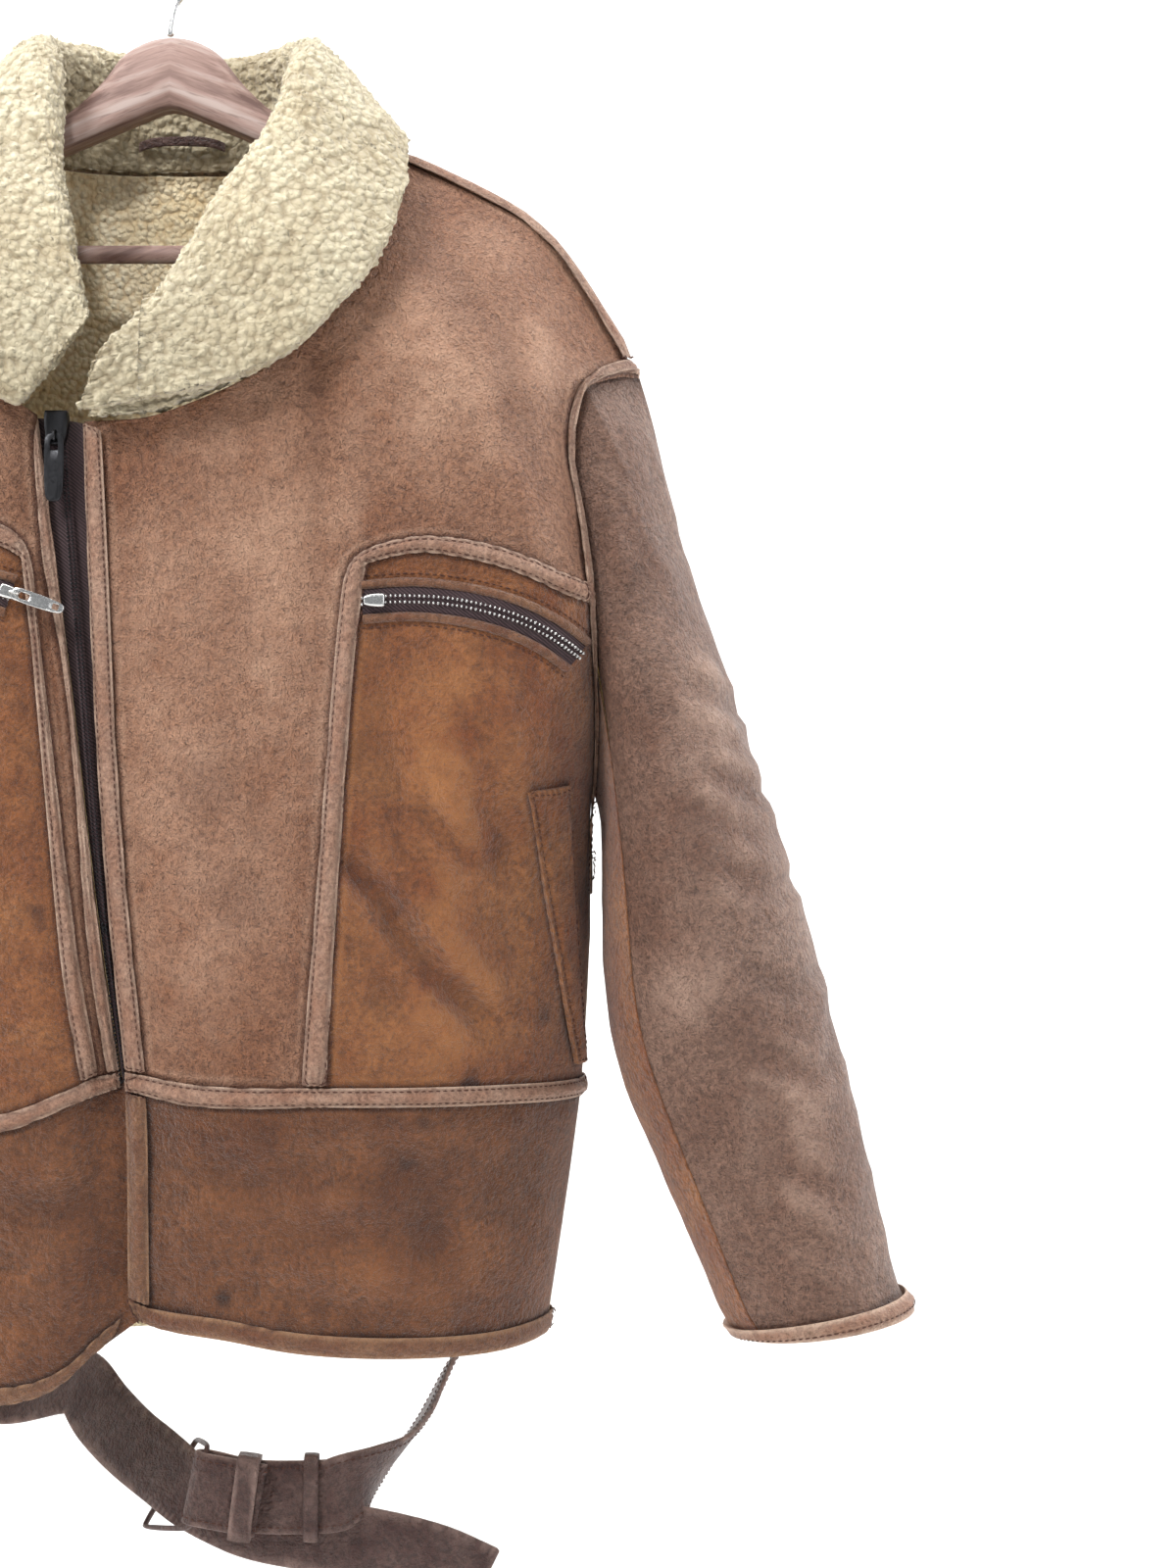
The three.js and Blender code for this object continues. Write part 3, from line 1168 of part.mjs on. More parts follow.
/** Flat pull with a window beside its top bar, hanging down from the bar's axis. */
function pullGeometry(size) {
  const half = size.width / 2;
  const outline = [[-half, size.length - 2.4], [-half + 2.4, size.length], [half - 2.4, size.length],
    [half, size.length - 2.4],
    [half, 0.8], [half - 0.8, 0], [-half + 0.8, 0], [-half, 0.8]];
  const windows = size.windows.map(({ half: open, from, to }) => [[-open, from], [open, from], [open,
    to], [-open, to]]);
  const loops = [outline, ...windows].map((loop) => loop.map(([x, y]) => new THREE.Vector2(x,
    size.bar / 2 - y)));
  const flatPoints = loops.flat();
  const count = flatPoints.length;
  const points = [0.5, -0.5].flatMap((side) => flatPoints.map((p) => vector(p.x, p.y, side * size.thick)));
  const turn = ([a, b, c]) => flatPoints[b].clone().sub(flatPoints[a]).cross(flatPoints[c].clone()
    .sub(flatPoints[a]));
  const caps = THREE.ShapeUtils.triangulateShape(loops[0], loops.slice(1))
    .map((face) => (turn(face) > 0 ? face : face.slice().reverse()));
  const faces = caps.flatMap(([a, b, c]) => [[a, b, c], [a + count, c + count, b + count]]);
  let first = 0;
  loops.forEach((loop) => {
    loop.forEach((_, k) => {
      const a = first + k;
      const b = first + ((k + 1) % loop.length);
      faces.push([a, a + count, b + count], [a, b + count, b]);
    });
    first += loop.length;
  });
  return facesOut(points, faces);
}

const MAIN_SLIDER = { x: -50.6, z: -301.4, width: 15, length: 19, thick: 5, lift: 0.8 };
const MAIN_PULL = {
  width: 10.8, length: 38, bar: 2.6, thick: 1.8, windows: [{ half: 2.3, from: 2.6, to: 9.4 }],
  axisDown: 5, axisOut: 7.7,
};
const BAIL_WIRE = 0.9;

/** Bail arched over a pull's top bar, from above it to below it on the slider's face. */
function bailGeometry(origin, up, out, slider, pull) {
  const face = slider.lift + slider.thick + 0.05;
  const over = pull.axisOut + pull.bar / 2 + 0.6 + BAIL_WIRE;
  const reach = pull.bar / 2 + 0.55 + BAIL_WIRE;
  const path = [[reach, face], [reach, over - 1.2], [reach - 1, over], [1 - reach, over], [-reach,
    over - 1.2], [-reach, face]]
    .map(([y, z]) => origin.clone().addScaledVector(up, y - pull.axisDown).addScaledVector(out, z));
  return wireGeometry(path, vector(0, 0, 0).crossVectors(up, out).normalize(), BAIL_WIRE);
}

/** Main slider, on the line of the chain's middle. */
function mainSlider() {
  const at = zipSides[CHEST_UP].middle.at.clone();
  const below = zipSides[CHEST_UP - 1].middle.at;
  const up = vector(0, at.y - below.y, at.z - below.z).normalize();
  const out = vector(0, 0, 0).crossVectors(vector(1, 0, 0), up).normalize();
  const share = (MAIN_SLIDER.z - below.z) / (at.z - below.z);
  const origin = vector(MAIN_SLIDER.x, mix(below.y, at.y, share), MAIN_SLIDER.z);
  add('zip_slider', placeOn(sliderGeometry(MAIN_SLIDER.width, MAIN_SLIDER.length, MAIN_SLIDER.thick,
    MAIN_SLIDER.lift), origin, up, out), BLACK_METAL);
  add('zip_bail', bailGeometry(origin, up, out, MAIN_SLIDER, MAIN_PULL), BLACK_METAL);
  const axis = origin.clone().addScaledVector(up, -MAIN_PULL.axisDown).addScaledVector(out,
    MAIN_PULL.axisOut);
  add('zip_pull', placeOn(pullGeometry(MAIN_PULL), axis, up, out), BLACK_METAL);
}
mainSlider();

// Pocket zips and side welts, laid on the facets of the side fronts

const LAID_LIFT = 0.9;
const POCKET_ZIP_HALF = 9;
const POCKET_ZIP_THICK = 2.2;
const POCKET_ZIP_STEPS = 12;
const WELT_THICK = 3;
const WELT_STEPS = 8;

/** Point of a panel's outer facets above a place in the x and z plane. */
function onFacets(panel, x, z) {
  const grid = panel.outer;
  for (let i = 0; i + 1 < grid.length; i += 1) {
    for (let j = 0; j + 1 < grid[0].length; j += 1) {
      const corners = [grid[i][j], grid[i + 1][j], grid[i + 1][j + 1], grid[i][j + 1]];
      if (corners[0].distanceTo(corners[2]) > corners[1].distanceTo(corners[3])) corners.push(corners.shift());
      for (const [a, b, c] of [[corners[0], corners[1], corners[2]], [corners[0], corners[2],
        corners[3]]]) {
        const det = (b.x - a.x) * (c.z - a.z) - (c.x - a.x) * (b.z - a.z);
        const s = ((x - a.x) * (c.z - a.z) - (c.x - a.x) * (z - a.z)) / det;
        const t = ((b.x - a.x) * (z - a.z) - (x - a.x) * (b.z - a.z)) / det;
        if (s >= -1e-6 && t >= -1e-6 && s + t <= 1 + 1e-6) {
          return vector(x, a.y + s * (b.y - a.y) + t * (c.y - a.y), z);
        }
      }
    }
  }
  return null;
}

/** Flat piece laid on a panel, given rows of places in the x and z plane. */
function laidGeometry(front, rows, thick) {
  const node = (p) => ({ at: onFacets(front.sideFront, p.x, p.z) , into: inward(front.surface, p) });
  const nodes = rows.map((row) => row.map(node));
  const layer = (distance) => nodes.map((row) => row.map(({ at,
    into }) => at.clone().addScaledVector(into, -distance)));
  return wallGeometry(layer(LAID_LIFT + thick), layer(LAID_LIFT));
}

/** Pocket zip and welt of one front. */
function pocketPieces(front) {
  const { lines, name } = front;
  const line = alongPath(curve(lines.pocketZip), even(POCKET_ZIP_STEPS));
  const rows = line.map((p, k) => {
    const before = line[Math.max(k - 1, 0)];
    const after = line[Math.min(k + 1, POCKET_ZIP_STEPS)];
    const length = Math.hypot(after.x - before.x, after.z - before.z);
    const [nx, nz] = [-(after.z - before.z) / length, (after.x - before.x) / length];
    return [-1, 0, 1].map((share) => ({ x: p.x + nx * share * POCKET_ZIP_HALF,
      z: p.z + nz * share * POCKET_ZIP_HALF }));
  });
  add(`pocket_zip_${name}`, laidGeometry(front, rows, POCKET_ZIP_THICK), TAPE);
  const [inner, outer] = [lines.welt.front, lines.welt.back].map((pairs) => alongPath(curve(pairs),
    even(WELT_STEPS)));
  add(`side_welt_${name}`, laidGeometry(front, inner.map((p, k) => even(4).map((t) => mixPoint(p,
    outer[k], t))), WELT_THICK), STRIP_LEATHER);
}
[left, right].forEach(pocketPieces);

const POCKET_SLIDER = { width: 8, length: 11, thick: 3.4, lift: LAID_LIFT + POCKET_ZIP_THICK + 0.4 };
const POCKET_PULL = {
  width: 7.5, length: 29, bar: 2.2, thick: 1.4,
  windows: [{ half: 1.9, from: 2.2, to: 9.5 }, { half: 1.7, from: 22.6, to: 26.1 }],
  axisDown: 2.4, axisOut: 8.8,
};
const RIGHT_PULL_WAY = [0.956, -0.29]; // in x and z, from the bail to the free end
const LEFT_SLIDER_AT = [126, -397.8];
const RIGHT_SLIDER_AT = [-73.5, -393.6];

/** Slider of a pocket zip, and the axes of the pull that hangs from it. */
function pocketSlider(front, [x, z], [wayX, wayZ]) {
  const at = onFacets(front.sideFront, x, z);
  const out = inward(front.surface, { x, z }).negate();
  const up = vector(-wayX, 0, -wayZ);
  up.addScaledVector(out, -up.dot(out)).normalize();
  add(`pocket_slider_${front.name}`, placeOn(sliderGeometry(POCKET_SLIDER.width, POCKET_SLIDER.length,
    POCKET_SLIDER.thick, POCKET_SLIDER.lift),
    at, up, out), front === left ? BLACK_METAL : SILVER);
  return { at, up, out };
}
pocketSlider(left, LEFT_SLIDER_AT, [-1, 0]);
const rightSlider = pocketSlider(right, RIGHT_SLIDER_AT, RIGHT_PULL_WAY);
add('pocket_bail_right', bailGeometry(rightSlider.at, rightSlider.up, rightSlider.out, POCKET_SLIDER,
  POCKET_PULL), SILVER);
const pocketAxis = rightSlider.at.clone()
  .addScaledVector(rightSlider.up, -POCKET_PULL.axisDown).addScaledVector(rightSlider.out,
    POCKET_PULL.axisOut);
add('pocket_pull_right', placeOn(pullGeometry(POCKET_PULL), pocketAxis, rightSlider.up,
  rightSlider.out), SILVER);

// Belt

const BELT_STEPS = 3; // spline steps between the rows of its tables
const BELT_LIFT = 1.2;
const BELT_SPLIT = 0.15;
const CARRIER_THICK = 2.2;
const CARRIER_UP = 30;
const CARRIER_DOWN = 25.2;

/** Outermost place of the back hem band across the belt's width. */
const backOut = (x) => Math.max(...even(6).map((t) => onFacets(backBand, x,
  CARRIER_Z + BELT_WIDTH * (t - 0.5)).y));

/** Closed strap along rows of centres and directions across. */
function strapGeometry(rows) {
  const dense = smoothRows(rows, BELT_STEPS);
  const centres = dense.map((row) => vector(row.x, row.y, row.z));
  const frames = centres.map((centre, k) => {
    const along = centres[Math.min(k + 1, centres.length - 1)].clone().sub(centres[Math.max(k - 1,
      0)]).normalize();
    const across = vector(dense[k].wx, dense[k].wy, dense[k].wz);
    across.addScaledVector(along, -across.dot(along)).normalize();
    return { centre, across, out: along.clone().cross(across) };
  });
  const layer = (side) => frames.map(({ centre, across, out }) => [-1, 1].map((edge) =>
    centre.clone().addScaledVector(across, (edge * BELT_WIDTH) / 2).addScaledVector(out,
      (side * BELT_THICK) / 2)));
  return wallGeometry(layer(1), layer(-1));
}

/** Rows of the belt round the back, from the middle to the side named. */
const roundBack = (side) => [BELT_SPLIT, 40, 75, 100, 118, 134, 150].map((x) => ({
  x: side * x, y: backOut(side * x) + BELT_LIFT + BELT_THICK / 2, z: CARRIER_Z, wx: 0, wy: 0, wz: 1,
}));
add('belt_holed_end', strapGeometry([...roundBack(-1), ...HOLED_STRAP]), BELT_LEATHER);
add('belt_buckle_end', strapGeometry([...roundBack(1), ...BUCKLE_STRAP]), BELT_LEATHER);

const CARRIER_NAMES = ['right', 'middle', 'left'];
CARRIER_AT.forEach((x, k) => {
  const layer = (distance) => [-0.5, 0.5].map((side) => {
    const cx = x + side * CARRIER_WIDTH;
    const over = Math.max(backOut(x), backOut(cx)) + BELT_LIFT + BELT_THICK + 0.7 + distance;
    const foot = (z) => onFacets(backBand, cx, z).y + 0.7 + distance;
    const turn = BELT_WIDTH / 2 + 1 + distance / 2;
    const feet = [CARRIER_UP, turn + 1.2].map((reach) => vector(cx, foot(CARRIER_Z + reach),
      CARRIER_Z + reach));
    const low = [turn + 1.2, CARRIER_DOWN + distance / 2].map((reach) => vector(cx,
      foot(CARRIER_Z - reach), CARRIER_Z - reach));
    return [...feet, vector(cx, over, CARRIER_Z + turn), vector(cx, over, CARRIER_Z - turn), ...low];
  });
  add(`belt_carrier_${CARRIER_NAMES[k]}`, wallGeometry(layer(CARRIER_THICK), layer(0)), SUEDE_STRIP);
});

const BUCKLE_ROUND = 6;
const bucklePath = BUCKLE.flatMap((corner, k) => {
  const here = vector(...corner);
  const toward = (other) => here.clone().addScaledVector(vector(...other).sub(here).normalize(),
    BUCKLE_ROUND);
  const before = toward(BUCKLE[(k + 3) % 4]);
  const after = toward(BUCKLE[(k + 1) % 4]);
  const middle = here.clone().lerp(before.clone().lerp(after, 0.5), 0.35);
  return [before, middle, after];
});
add('buckle', wireGeometry(bucklePath, vector(0.6, 0.75, 0.2).normalize(), BUCKLE_WIRE, true),
  BELT_LEATHER);

/** Rectangular loop round straps: its middle line, how wide it is along the strap, and its tilt. */
function keeperGeometry({ x, z, width, inside, front, backAt, lean }) {
  const half = inside / 2;
  const corners = [[backAt, half], [front, half], [front, -half], [backAt, -half]];
  const ring = (grow) => corners.map(([y, up]) => ({ y: y + (y === front ? -grow : grow),
    up: up + Math.sign(up) * grow }));
  const rows = (grow) => ring(grow).map(({ y, up }) => [-0.5, 0.5].map((side) =>
    vector(x + side * width + lean * up, y, z + up - lean * side * width)));
  return wallGeometry(rows(KEEPER_THICK), rows(0), true);
}
const KEEPER_THICK = 1.9;
add('belt_keeper_sewn', keeperGeometry({ x: 46.5, z: -903.2, width: 13, inside: 45, front: -36.8,
  backAt: -24.3, lean: 0.13 }), BELT_LEATHER);
add('belt_keeper_loose', keeperGeometry({ x: 84, z: -904.6, width: 15, inside: 46.4, front: -29.6,
  backAt: -24, lean: 0.02 }), BELT_LEATHER);

export default jacket;
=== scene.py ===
"""Looks of a sheepskin flying jacket hung open on a beech hanger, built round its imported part.

Metres, +Z up, the jacket's front towards -Y. The cloth pieces are cut from copies of the part's solids,
smoothed and shaped. Stitches and zip teeth are laid by Geometry Nodes. Sizes in the classes are in
millimetres unless a name says otherwise.
"""

import logging
import math
from dataclasses import dataclass, field
from enum import Enum
from typing import Any, Optional

import bmesh
import bpy
import numpy as np
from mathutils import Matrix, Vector, kdtree, noise
from mathutils.bvhtree import BVHTree


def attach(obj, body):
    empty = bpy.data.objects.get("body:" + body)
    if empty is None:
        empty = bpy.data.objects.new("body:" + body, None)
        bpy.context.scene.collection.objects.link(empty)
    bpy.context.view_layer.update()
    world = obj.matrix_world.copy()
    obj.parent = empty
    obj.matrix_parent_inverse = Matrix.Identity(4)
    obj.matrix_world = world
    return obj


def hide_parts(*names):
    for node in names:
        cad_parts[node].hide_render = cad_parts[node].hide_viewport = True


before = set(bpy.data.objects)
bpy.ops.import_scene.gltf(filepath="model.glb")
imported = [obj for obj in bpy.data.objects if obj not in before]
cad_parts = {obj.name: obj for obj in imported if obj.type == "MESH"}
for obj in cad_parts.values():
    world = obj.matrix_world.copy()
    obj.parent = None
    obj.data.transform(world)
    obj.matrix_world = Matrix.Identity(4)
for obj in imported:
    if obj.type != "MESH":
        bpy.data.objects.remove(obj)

LOG = logging.getLogger("flying_jacket")
MM = 0.001
SHARP = math.radians(48)
BORDER = math.radians(38)
QUAD_FLAT = math.radians(40)
QUAD_SQUARE = math.radians(65)
MERGE = 2e-5
FAR = Vector((0, 0, 9))
JACKET = "jacket"
NOISE_SEED = 7

noise.seed_set(NOISE_SEED)


class Facing(Enum):
    """Which way a piece's leather side looks."""

    FRONT = "front"
    BACK = "back"
    ROUND = "round"


# Small helpers


def linear(code: str) -> tuple[float, float, float, float]:
    """Turns an sRGB hex colour to linear.

    Args:
        code: the colour as #rrggbb.

    Returns:
        Linear red, green, blue and an alpha of 1.
    """
    values = [int(code[i : i + 2], 16) / 255 for i in (1, 3, 5)]
    bent = [v / 12.92 if v <= 0.04045 else ((v + 0.055) / 1.055) ** 2.4 for v in values]
    return (bent[0], bent[1], bent[2], 1.0)


def add_node(tree: Any, kind: str, feeds: Optional[dict] = None, stops: tuple = (), **settings: Any) -> Any:
    """Adds a node with its settings and links.

    Args:
        tree: the node tree.
        kind: the node's type.
        feeds: values or sockets for its inputs, by name or number.
        stops: places and colours of a ramp, where the node has one.
        **settings: properties of the node.

    Returns:
        The new node.
    """
    made = tree.nodes.new(kind)
    for name, value in settings.items():
        setattr(made, name, value)
    for key, value in (feeds or {}).items():
        if isinstance(value, bpy.types.NodeSocket):
            tree.links.new(value, made.inputs[key])
        else:
            made.inputs[key].default_value = value
    for k, (place, colour) in enumerate(stops):
        elements = made.color_ramp.elements
        element = elements[k] if k < 2 else elements.new(place)
        element.position = place
        element.color = colour
    return made


def new_finish(name: str) -> tuple[bpy.types.Material, Any, Any, Any]:
    """Makes an empty material.

    Args:
        name: what it is really made of.

    Returns:
        The material, its node tree, its shader and the socket of places on the piece.
    """
    material = bpy.data.materials.new(name)
    material.use_nodes = True
    tree = material.node_tree
    place = add_node(tree, "ShaderNodeTexCoord").outputs["Object"]
    return material, tree, tree.nodes["Principled BSDF"], place


def put(name: str, data: Any) -> bpy.types.Object:
    """Makes an object of a mesh, lamp or camera and puts it in the scene at the origin."""
    made = bpy.data.objects.new(name, data)
    bpy.context.scene.collection.objects.link(made)
    return made


def closed_band(name: str, points: list, around: int) -> bpy.types.Object:
    """Makes a closed tube of any section from its rings of points.

    Args:
        name: the new piece's name.
        points: the rings' points one after the other, in metres.
        around: how many points a ring has.

    Returns:
        The piece, smooth and with its faces turned out.
    """
    rings = len(points) // around
    faces = [
        (
            i * around + j, i * around + (j + 1) % around, (i + 1) * around + (j + 1) % around,
            (i + 1) * around + j
        )
        for i in range(rings - 1)
        for j in range(around)
    ]
    faces += [tuple(reversed(range(around))), tuple((rings - 1) * around + j for j in range(around))]
    mesh = bpy.data.meshes.new(name)
    mesh.from_pydata(points, [], faces)
    work = bmesh.new()
    work.from_mesh(mesh)
    bmesh.ops.recalc_face_normals(work, faces=work.faces)
    work.to_mesh(mesh)
    work.free()
    for poly in mesh.polygons:
        poly.use_smooth = True
    return put(name, mesh)


def directions(path: np.ndarray) -> np.ndarray:
    """Unit direction along a path at each of its points."""
    ways = np.gradient(path, axis=0)
    return ways / np.linalg.norm(ways, axis=1)[:, None]


def search_tree(places: list) -> kdtree.KDTree:
    """Makes a search tree of points; without any it holds one that is far away."""
    held = places or [FAR]
    tree = kdtree.KDTree(len(held))
    for k, p in enumerate(held):
        tree.insert(p, k)
    tree.balance()
    return tree


def smoothstep(values: np.ndarray) -> np.ndarray:
    """Smooth rise from 0 to 1 over values from 0 to 1."""
    held = np.clip(values, 0, 1)
    return held * held * (3 - 2 * held)


def line_distance(points: np.ndarray, path: np.ndarray) -> tuple[np.ndarray, np.ndarray]:
    """Measures how far points are from a path, and how far along it.

    Args:
        points: rows of coordinates.
        path: rows of the path's corners, in as many coordinates.

    Returns:
        The distance of each point, and the share of the path's length at its nearest place.
    """
    best = np.full(len(points), np.inf)
    along = np.zeros(len(points))
    steps = np.linalg.norm(np.diff(path, axis=0), axis=1)
    total = max(steps.sum(), 1e-9)
    done = 0.0
    for a, b, length in zip(path[:-1], path[1:], steps):
        way = b - a
        share = np.clip(((points - a) @ way) / max(way @ way, 1e-12), 0, 1)
        distance = np.linalg.norm(points - a - share[:, None] * way, axis=1)
        nearer = distance < best
        best[nearer] = distance[nearer]
        along[nearer] = (done + share[nearer] * length) / total
        done += length
    return best, along


def spline(points: tuple, steps: int = 8) -> np.ndarray:
    """Smooth curve through a few points.

    Args:
        points: the points it passes.
        steps: pieces between two of them.

    Returns:
        The curve's points as rows.
    """
    rows = np.array(points, float)
    padded = np.vstack([rows[0], rows, rows[-1]])
    result = []
    for k in range(len(rows) - 1):
        a, b, c, d = padded[k : k + 4]
        for s in range(steps):
            t = s / steps
            result.append(
                0.5 * (
                    2 * b + (c - a) * t + (
                        2 * a - 5 * b + 4 * c - d
                    ) * t**2 + (3 * b - a - 3 * c + d) * t**3
                )
            )
    result.append(rows[-1])
    return np.array(result)


def waves(points: np.ndarray, size_mm: float, seed: float, detail: int = 2) -> np.ndarray:
    """Fixed random height at each point.

    Args:
        points: places in metres.
        size_mm: how wide a wave is.
        seed: shifts the pattern, so that pieces differ.
        detail: how many finer layers lie on it.

    Returns:
        Heights from about -1 to 1.
    """
    shift = Vector((seed * 3.1, seed * 1.7, seed * 2.3))
    scale = 1 / (size_mm * MM)
    return np.array([noise.fractal(Vector(p) * scale + shift, 1.0, 2.0, detail) for p in points])


def curls(points: np.ndarray, size_mm: float, seed: float) -> np.ndarray:
    """Height of wool locks: curling bumps of uneven size with narrow valleys between them.

    Args:
        points: places in metres.
        size_mm: how wide a lock is.
        seed: shifts the pattern.

    Returns:
        Heights from 0 in a valley to 1 on a lock.
    """
    shift = Vector((seed * 5.3, seed * 2.9, seed * 4.1))
    scale = 1 / (size_mm * MM)
    heights = np.empty(len(points))
    for k, p in enumerate(points):
        place = Vector(p) * scale + shift
        place += 0.9 * noise.noise_vector(place * 0.55) + 0.35 * noise.noise_vector(place * 1.9)
        near = noise.voronoi(place)[0]
        heights[k] = 1.1 * min(near[1] - near[0], 1.0) + 0.22 * noise.noise(place * 1.7) + 0.1
    return np.clip(heights, 0, 1) ** 0.65


# Finishes


@dataclass(frozen=True)
class Hide:
    """Sheepskin's leather side: coloured, worn pale on its high places, painted pale in highlights, and dark
    in its stains, with painted shade in its grain's pits, its fold valleys and beside its seams.
    """

    name: str
    slot: str
    base: str
    pale: str
    dark: str
    roughness: float = 0.6
    grain_mm: float = 1.5
    grain_depth_mm: float = 0.22
    mottle_mm: float = 70
    mottle: float = 0.5
    nap: float = 0.0

    def build(self) -> bpy.types.Material:
        """Makes the material: pores and creases in the bump, painted shade in the grain's pits, wear and
        painted highlights, stains and painted shade from the piece's attributes.
        """
        material, tree, shader, place = new_finish(self.name)
        cloud = add_node(
            tree, "ShaderNodeTexNoise",
            {"Vector": place, "Scale": 1000 / self.mottle_mm, "Detail": 6.0, "Roughness": 0.62}
        )
        patch = add_node(
            tree, "ShaderNodeMapRange",
            {"Value": cloud.outputs[0], "From Min": 0.36, "From Max": 0.66, "To Max": self.mottle}
        )
        small = add_node(
            tree, "ShaderNodeTexNoise",
            {"Vector": place, "Scale": 1000 / 9, "Detail": 5.0, "Roughness": 0.7}
        )
        speck = add_node(
            tree, "ShaderNodeMapRange",
            {
                "Value": small.outputs[0], "From Min": 0.42, "From Max": 0.72,
                "To Max": 0.16 + 0.3 * self.nap
            },
        )
        pebble = add_node(
            tree, "ShaderNodeTexNoise",
            {"Vector": place, "Scale": 1000 / (self.grain_mm * 1.7), "Detail": 3.0, "Roughness": 0.75},
        )
        # Painted shade: the colour darkens where the pebble grain's bump is low, in its pits.
        grain_pit_shade = add_node(
            tree, "ShaderNodeMapRange",
            {"Value": pebble.outputs[0], "From Min": 0.4, "From Max": 0.64, "To Max": 0.55},
        )
        tone = add_node(
            tree, "ShaderNodeMix",
            {0: patch.outputs[0], 6: linear(self.base), 7: linear(self.pale)}, data_type="RGBA",
        )
        clouded = add_node(
            tree, "ShaderNodeMix", {
                0: speck.outputs[0], 6: tone.outputs[2], 7: linear(self.dark)
            }, data_type="RGBA"
        )
        toned = add_node(
            tree, "ShaderNodeMix", {
                0: grain_pit_shade.outputs[0], 6: clouded.outputs[2], 7: linear(self.dark)
            }, data_type="RGBA"
        )
        # This attribute carries real wear and painted highlights; both turn the hide towards its pale
        # colour.
        wear_and_highlight = add_node(tree, "ShaderNodeAttribute", attribute_name="wear_and_highlight")
        ragged = add_node(
            tree, "ShaderNodeMath", {0: wear_and_highlight.outputs["Fac"], 1: small.outputs[0]}, operation="MULTIPLY"
        )
        wear_and_highlight_share = add_node(
            tree, "ShaderNodeMapRange",
            {"Value": ragged.outputs[0], "From Min": 0.16, "From Max": 0.55, "To Max": 0.8}
        )
        worn_and_highlit = add_node(
            tree, "ShaderNodeMix", {
                0: wear_and_highlight_share.outputs[0], 6: toned.outputs[2], 7: linear(self.pale)
            }, data_type="RGBA"
        )
        # This attribute carries real stains and painted shade; both turn the hide towards its dark colour.
        stain_and_shade = add_node(tree, "ShaderNodeAttribute", attribute_name="stain_and_shade")
        stained_and_shaded = add_node(
            tree, "ShaderNodeMix", {
                0: stain_and_shade.outputs["Fac"], 6: worn_and_highlit.outputs[2], 7: linear(self.dark)
            }, data_type="RGBA"
        )
        tree.links.new(stained_and_shaded.outputs[2], shader.inputs["Base Color"])
        bent = add_node(
            tree, "ShaderNodeTexNoise",
            {"Vector": place, "Scale": 1000 / (self.grain_mm * 3), "Detail": 3.0}
        )
        shifted = add_node(
            tree, "ShaderNodeMix", {0: 0.0016, 4: place, 5: bent.outputs["Color"]}, data_type="VECTOR"
        )
        cells = add_node(
            tree, "ShaderNodeTexVoronoi",
            {"Vector": shifted.outputs[1], "Scale": 1000 / self.grain_mm}, feature="DISTANCE_TO_EDGE",
        )
        pores = add_node(
            tree, "ShaderNodeMapRange",
            {"Value": cells.outputs["Distance"], "From Max": 0.22, "To Max": 1.0}
        )
        drawn = add_node(tree, "ShaderNodeMapping", {"Vector": place, "Scale": (1.0, 1.0, 0.42)})
        lines = add_node(
            tree, "ShaderNodeTexNoise",
            {
                "Vector": drawn.outputs[0], "Scale": 1000 / (self.grain_mm * 2.2), "Detail": 4.0,
                "Roughness": 0.65
            },
        )
        height = add_node(
            tree, "ShaderNodeMix", {
                0: 0.55 + 0.3 * self.nap, 2: pores.outputs[0], 3: lines.outputs[0]
            }, data_type="FLOAT"
        )
        bump = add_node(
            tree, "ShaderNodeBump",
            {"Strength": 1.0, "Distance": self.grain_depth_mm * MM, "Height": height.outputs[0]},
        )
        coarse = add_node(
            tree, "ShaderNodeBump",
            {"Strength": 0.8, "Distance": 0.0034, "Height": small.outputs[0], "Normal": bump.outputs[0]},
        )
        raised = add_node(
            tree, "ShaderNodeMath", {0: 1.0, 1: pebble.outputs[0]}, operation="SUBTRACT"
        )
        grained = add_node(
            tree, "ShaderNodeBump",
            {"Strength": 1.0, "Distance": 0.0034, "Height": raised.outputs[0], "Normal": coarse.outputs[0]},
        )
        tree.links.new(grained.outputs[0], shader.inputs["Normal"])
        gloss = add_node(
            tree, "ShaderNodeMapRange",
            {"Value": small.outputs[0], "From Min": 0.3, "From Max": 0.7,
             "To Min": self.roughness - 0.08, "To Max": min(self.roughness + 0.12, 1.0)},
        )
        tree.links.new(gloss.outputs[0], shader.inputs["Roughness"])
        shader.inputs["Specular IOR Level"].default_value = 0.4 - 0.28 * self.nap
        shader.inputs["Sheen Weight"].default_value = 0.05 + 0.25 * self.nap
        shader.inputs["Sheen Roughness"].default_value = 0.6
        return material


